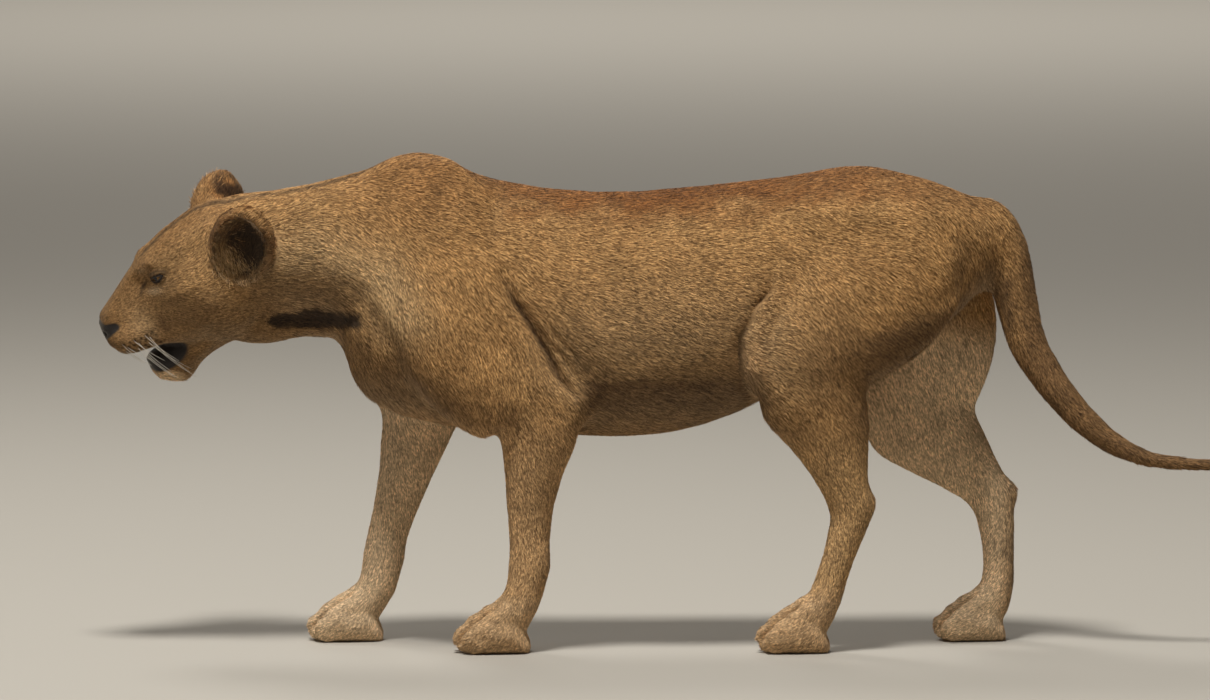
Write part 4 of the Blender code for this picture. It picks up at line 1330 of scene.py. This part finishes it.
longHair = {
    "tailTufts": 5200,
    "tailLength": 0.052,
    "tailWidth": 0.0024,
    "earTufts": 9000,
    "earLength": 0.0165,
    "earWidth": 0.0007,
    "earTangle": 0.14,
}


def tailEndHair():
    start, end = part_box("tail_tuft")[0][1], cadBounds[1][1]
    faces = np.nonzero(middles[:, 1] > start - 0.02)[0]
    weights = skinAreas[faces] * smoothStep(middles[faces][:, 1], start - 0.02, start + 0.05)

    def change(root, marks):
        count = len(root)
        length = np.clip(end - root[:, 1], 0.006, longHair["tailLength"]) * random.uniform(0.75, 1.0, count)
        width = longHair["tailWidth"] * random.uniform(0.7, 1.2, count)
        lift = np.radians(random.uniform(3, 17, count))
        marks["dark"] = np.clip(marks["dark"] + 0.3 * smoothStep(root[:, 1], start, start + 0.06), 0, 0.95)
        return np.tile((0.0, 1.0, 0.0), (count, 1)), length, width, lift

    growTufts("tailTuft", faces, weights, longHair["tailTufts"], "dark_tuft", change, longKite)


# hair that hangs over the ears' hollows from their front and lower rims
def earHair():
    spots, inner, rim = inHead(middles), meanOf(skinMarks["inner"]), np.zeros(len(middles))
    for side in (-1, 1):
        centre, tip, opening = earAxes(side)
        away = spots - centre
        ahead, rise = away @ np.cross(tip, opening) * side, away @ tip
        mine = (spots[:, 0] * side > 0) * middleParts["ear"]
        front = smoothStep(ahead, 0.002, 0.026) + smoothStep(-rise, 0.012, 0.036)
        front += 0.8 * smoothStep(rise, 0.016, 0.032)
        rim += mine * smoothStep(away @ opening, -0.030, -0.004) * (0.04 + front) * (0.35 + inner)
    faces = np.nonzero(rim > 0.05)[0]

    def change(root, marks):
        place, way, low, count = inHead(root), np.zeros_like(root), np.zeros(len(root)), len(root)
        for side in (-1, 1):
            centre, tip, opening = earAxes(side)
            mine = place[:, 0] * side > 0
            low += mine * smoothStep(-((place - centre) @ tip), -0.01, 0.02)
            hang = opening * 0.55 - np.cross(tip, opening) * side * 0.75 + tip * (0.45 - 0.9 * low)[:, None]
            way += mine[:, None] * hang
        way = wayFromHead(unit(way + longHair["earTangle"] * random.standard_normal((count, 3))))
        length = longHair["earLength"] * random.uniform(0.5, 1.25, count)
        width = longHair["earWidth"] * random.uniform(0.7, 1.2, count)
        lift = np.radians(random.uniform(6, 18, count))
        bright = random.random(count)
        marks["dark"] = 0.8 * (bright < 0.28)
        marks["red"] = 0.8 * (bright < 0.65) * (1 - low)
        marks["pale"] = 0.40 * (bright > 0.76) * (0.4 + 0.6 * low)
        marks["grey"] = 0.5 * low
        return way, length, width, lift

    weights = skinAreas[faces] * rim[faces]
    growTufts("earHair", faces, weights, longHair["earTufts"], "pale_coat", change, longKite)


tailEndHair()
earHair()

# eyes, lid rims, whiskers

eyePlan = {
    "rings": 40,
    "spokes": 56,
    "cornea": 0.0016,
    "corneaAngle": 30.0,
    "irisAngle": 43.0,
    "pupilAngle": 15.0,
    "raySize": 900.0,
    "iris": (0.22, 0.095, 0.016),
    "irisEdge": (0.05, 0.020, 0.005),
    "pupil": (0.004, 0.004, 0.004),
    "irisRing": (0.012, 0.008, 0.006),
    # the white of the eye, painted near black as shade under the brow
    "scleraShade": (0.018, 0.011, 0.009),
}
whiskerPlan = {
    "length": 0.078,
    "thick": 0.00048,
    "spokes": 6,
    "steps": 9,
    "colour": (0.62, 0.56, 0.46),
}


def eyeMaterial():
    material, tree = newMaterial("amberEye")
    angle = tree.mask("fromPupil")

    # colours change over a span of angles from the pupil's middle
    def ring(low, high, a, b):
        share = tree.add("ShaderNodeMapRange", {"Value": angle, "From Min": low, "From Max": high},
                         interpolation_type="SMOOTHSTEP").outputs[0]
        return tree.blend(share, a, b)

    pupil, edge = eyePlan["pupilAngle"], eyePlan["irisAngle"]
    rays = tree.maths("MULTIPLY_ADD", tree.grain(tree.coords(), eyePlan["raySize"]), 0.5, 0.72)
    iris = tree.shaded(ring(20.0, 40.0, eyePlan["iris"], eyePlan["irisEdge"]), rays)
    seen = ring(pupil - 1, pupil + 1, eyePlan["pupil"], iris)
    seen = ring(edge - 2, edge, seen, eyePlan["irisRing"])
    seen = ring(edge + 3, edge + 9, seen, eyePlan["scleraShade"])
    return setShader(material, {"Base Color": seen, "Roughness": 0.12, "Specular IOR Level": 0.2,
                                "Coat Weight": 0.28, "Coat Roughness": 0.06})


def addEye(side, material):
    (out, inner, up), centre = eyeAxes(side), eyeSpot(side)
    rings, spokes = eyePlan["rings"], eyePlan["spokes"]
    angles = math.pi * np.arange(1, rings) / rings
    turns = 2 * math.pi * np.arange(spokes) / spokes
    radius = eyeRadius + eyePlan["cornea"] * np.exp(-(angles / math.radians(eyePlan["corneaAngle"])) ** 2)
    ring = np.sin(angles) * radius
    spots = (np.cos(angles) * radius)[:, None, None] * out + ring[:, None, None] * (
        np.cos(turns)[None, :, None] * inner + np.sin(turns)[None, :, None] * up)
    front = out * (eyeRadius + eyePlan["cornea"])
    spots = np.concatenate([[front], spots.reshape(-1, 3), [-out * eyeRadius]])
    faces = []
    last = len(spots) - 1
    for j in range(spokes):
        k = (j + 1) % spokes
        faces += [(0, 1 + j, 1 + k), (last, last - spokes + k, last - spokes + j)]
        for i in range(rings - 2):
            a, b = 1 + i * spokes, 1 + (i + 1) * spokes
            faces += [(a + j, b + j, b + k), (a + j, b + k, a + k)]
    mesh = newMesh("eye", spots + centre, faces)
    setMask(mesh, "fromPupil", np.r_[0, np.repeat(np.degrees(angles), spokes), 180])
    mesh.materials.append(material)
    name = "left" if side > 0 else "right"
    addPiece(f"eyeball_{name}", mesh, "eye", f"eye_{name}")


def tube(path, radii, spokes, closed=False):
    path = np.asarray(path, float)
    ways = unit(np.roll(path, -1, 0) - np.roll(path, 1, 0)) if closed else unit(np.gradient(path, axis=0))
    side = unit(np.cross(ways, (0.31, 0.17, 0.93)))
    other = np.cross(ways, side)
    turns = 2 * math.pi * np.arange(spokes) / spokes
    rings = path[:, None] + np.asarray(radii)[:, None, None] * (
        np.cos(turns)[None, :, None] * side[:, None] + np.sin(turns)[None, :, None] * other[:, None])
    count = len(path)
    faces = []
    for i in range(count if closed else count - 1):
        a, b = i * spokes, ((i + 1) % count) * spokes
        for j in range(spokes):
            k = (j + 1) % spokes
            faces += [(a + j, a + k, b + k), (a + j, b + k, b + j)]
    spots = rings.reshape(-1, 3)
    if not closed:
        last = len(spots)
        spots = np.concatenate([spots, [path[0], path[-1]]])
        end = (count - 1) * spokes
        for j in range(spokes):
            k = (j + 1) % spokes
            faces += [(last, k, j), (last + 1, end + j, end + k)]
    return spots, faces


def joinTubes(name, tubes, material, slotName):
    spots, faces, start = [], [], 0
    for points, cells in tubes:
        spots.append(points)
        faces.append(np.array(cells) + start)
        start += len(points)
    mesh = newMesh(name, np.concatenate(spots), np.concatenate(faces))
    mesh.materials.append(material)
    addPiece(name, mesh, slotName)


def onEyeball(side, across, rise, radius):
    out, inner, up = eyeAxes(side)
    a, e = math.radians(across), math.radians(rise)
    way = (math.cos(e) * math.cos(a)) * out + (math.cos(e) * math.sin(a)) * inner + math.sin(e) * up
    return eyeSpot(side) + way * radius


def lidRims():
    tubes = []
    for side in (1, -1):
        path, radii = [], []
        for turn in np.linspace(0, 2 * math.pi, 72, endpoint=False):
            share, above = math.cos(turn), math.sin(turn) > 0
            rise = float(lidEdges(np.array(share))[0 if above else 1])
            path.append(onEyeball(side, share * lidPlan["halfWidth"], rise, eyeRadius + lidPlan["rimLift"]))
            radii.append(lidPlan["rimRadius"] * (1.3 if above else 0.85))
        tubes.append(tube(path, radii, 8, closed=True))
    joinTubes("lidRims", tubes, plainMaterial("lidLeather", coatColours["leather"], 0.4), "nose_leather")


def whiskers():
    tubes, spots = [], inHead(skinPoints)
    for side in (-1, 1):
        outer = spots[(spots[:, 0] * side > 0.018) & (spots[:, 1] > 0.03)]
        # every other follicle bears one
        for n, spot in list(enumerate(whiskerSpots(side)))[::2]:
            root = outer[np.argmin(np.linalg.norm((outer - spot)[:, 1:], axis=1))]
            length = whiskerPlan["length"] * random.uniform(0.6, 1.15)
            length *= 0.7 + 0.1 * (n % whiskerRows["perRow"])
            way = unit(np.array((side * random.uniform(0.30, 0.65), random.uniform(-0.50, -0.15), -1.0)))
            sag = np.array((-side * 0.10, -0.22, -0.12)) * length
            t = np.linspace(0, 1, whiskerPlan["steps"])[:, None]
            path = fromHead(root - way * 0.004 + way * length * t + sag * t ** 2)
            radii = whiskerPlan["thick"] * (1 - 0.5 * t[:, 0])
            tubes.append(tube(path, radii, whiskerPlan["spokes"]))
    joinTubes("whiskers", tubes, plainMaterial("whiskerHair", whiskerPlan["colour"], 0.4), "pale_coat")


eyeGlass = eyeMaterial()
for side in (1, -1):
    addEye(side, eyeGlass)

# floor, light, camera

stagePlan = {
    "halfFloor": 48.0,
    "floorColour": (0.42, 0.385, 0.325),
    "distance": 14.0,
    "width": 2.1175,
    "elevation": 5.0,
    "aim": (0.0, -0.197, 0.5215),
    "skyColour": (1.0, 0.88, 0.72, 1),
    "skyStrength": 0.085,
}
# place, size, power, aim
lamps = {
    "key": ((3.1, -1.1, 8.8), 2.0, 860, (0, -0.1, 0.5)),
    "fill": ((6.0, 2.5, 2.5), 3.0, 12, (0, 0, 0.4)),
    "front": ((2.6, -6.5, 1.6), 2.5, 38, (0, -0.5, 0.4)),
    "wash": ((-24.0, 0.0, 11.0), 12.0, 1500, (-24.0, 0.0, 0.0)),
    "rim": ((-3.5, -2.5, 5.5), 2.0, 130, (0, -0.2, 0.6)),
}


def addFloor():
    half = stagePlan["halfFloor"]
    corners = [(-half, -half, 0), (half, -half, 0), (half, half, 0), (-half, half, 0)]
    floor = newPiece("floor", newMesh("floor", corners, [(0, 1, 2, 3)], smooth=False))
    floor.data.materials.append(plainMaterial("paleFloor", stagePlan["floorColour"], 0.9))


def addLight(name, place, size, power, aim):
    lamp = bpy.data.lights.new(name, "AREA")
    lamp.shape = "DISK"
    lamp.size = size
    lamp.energy = power
    piece = newPiece(name, lamp)
    piece.location = place
    piece.rotation_euler = (Vector(place) - Vector(aim)).to_track_quat("Z", "Y").to_euler()


def addCamera():
    lens = bpy.data.cameras.new("camera")
    lens.sensor_width = 36.0
    lens.lens = lens.sensor_width * stagePlan["distance"] / stagePlan["width"]
    lens.clip_end = 100
    camera = newPiece("camera", lens)
    rise = math.radians(stagePlan["elevation"])
    way = Vector((math.cos(rise), 0, math.sin(rise)))
    camera.location = Vector(stagePlan["aim"]) + way * stagePlan["distance"]
    camera.rotation_euler = way.to_track_quat("Z", "Y").to_euler()
    bpy.context.scene.camera = camera


addFloor()
addCamera()
for name, settings in lamps.items():
    addLight(name, *settings)
world = bpy.data.worlds.new("softLight")
bpy.context.scene.world = world
world.use_nodes = True
sky = world.node_tree.nodes["Background"]
sky.inputs["Color"].default_value = stagePlan["skyColour"]
sky.inputs["Strength"].default_value = stagePlan["skyStrength"]
bpy.context.scene.view_settings.view_transform = "Standard"

lidRims()
whiskers()
print("eyes, lids and whiskers set")

shown = [piece for piece in bpy.data.objects if piece.type == "MESH" and not piece.hide_render]
print("triangles shown:", sum(len(face.vertices) - 2 for piece in shown if piece.name != "floor"
                              for face in piece.data.polygons))
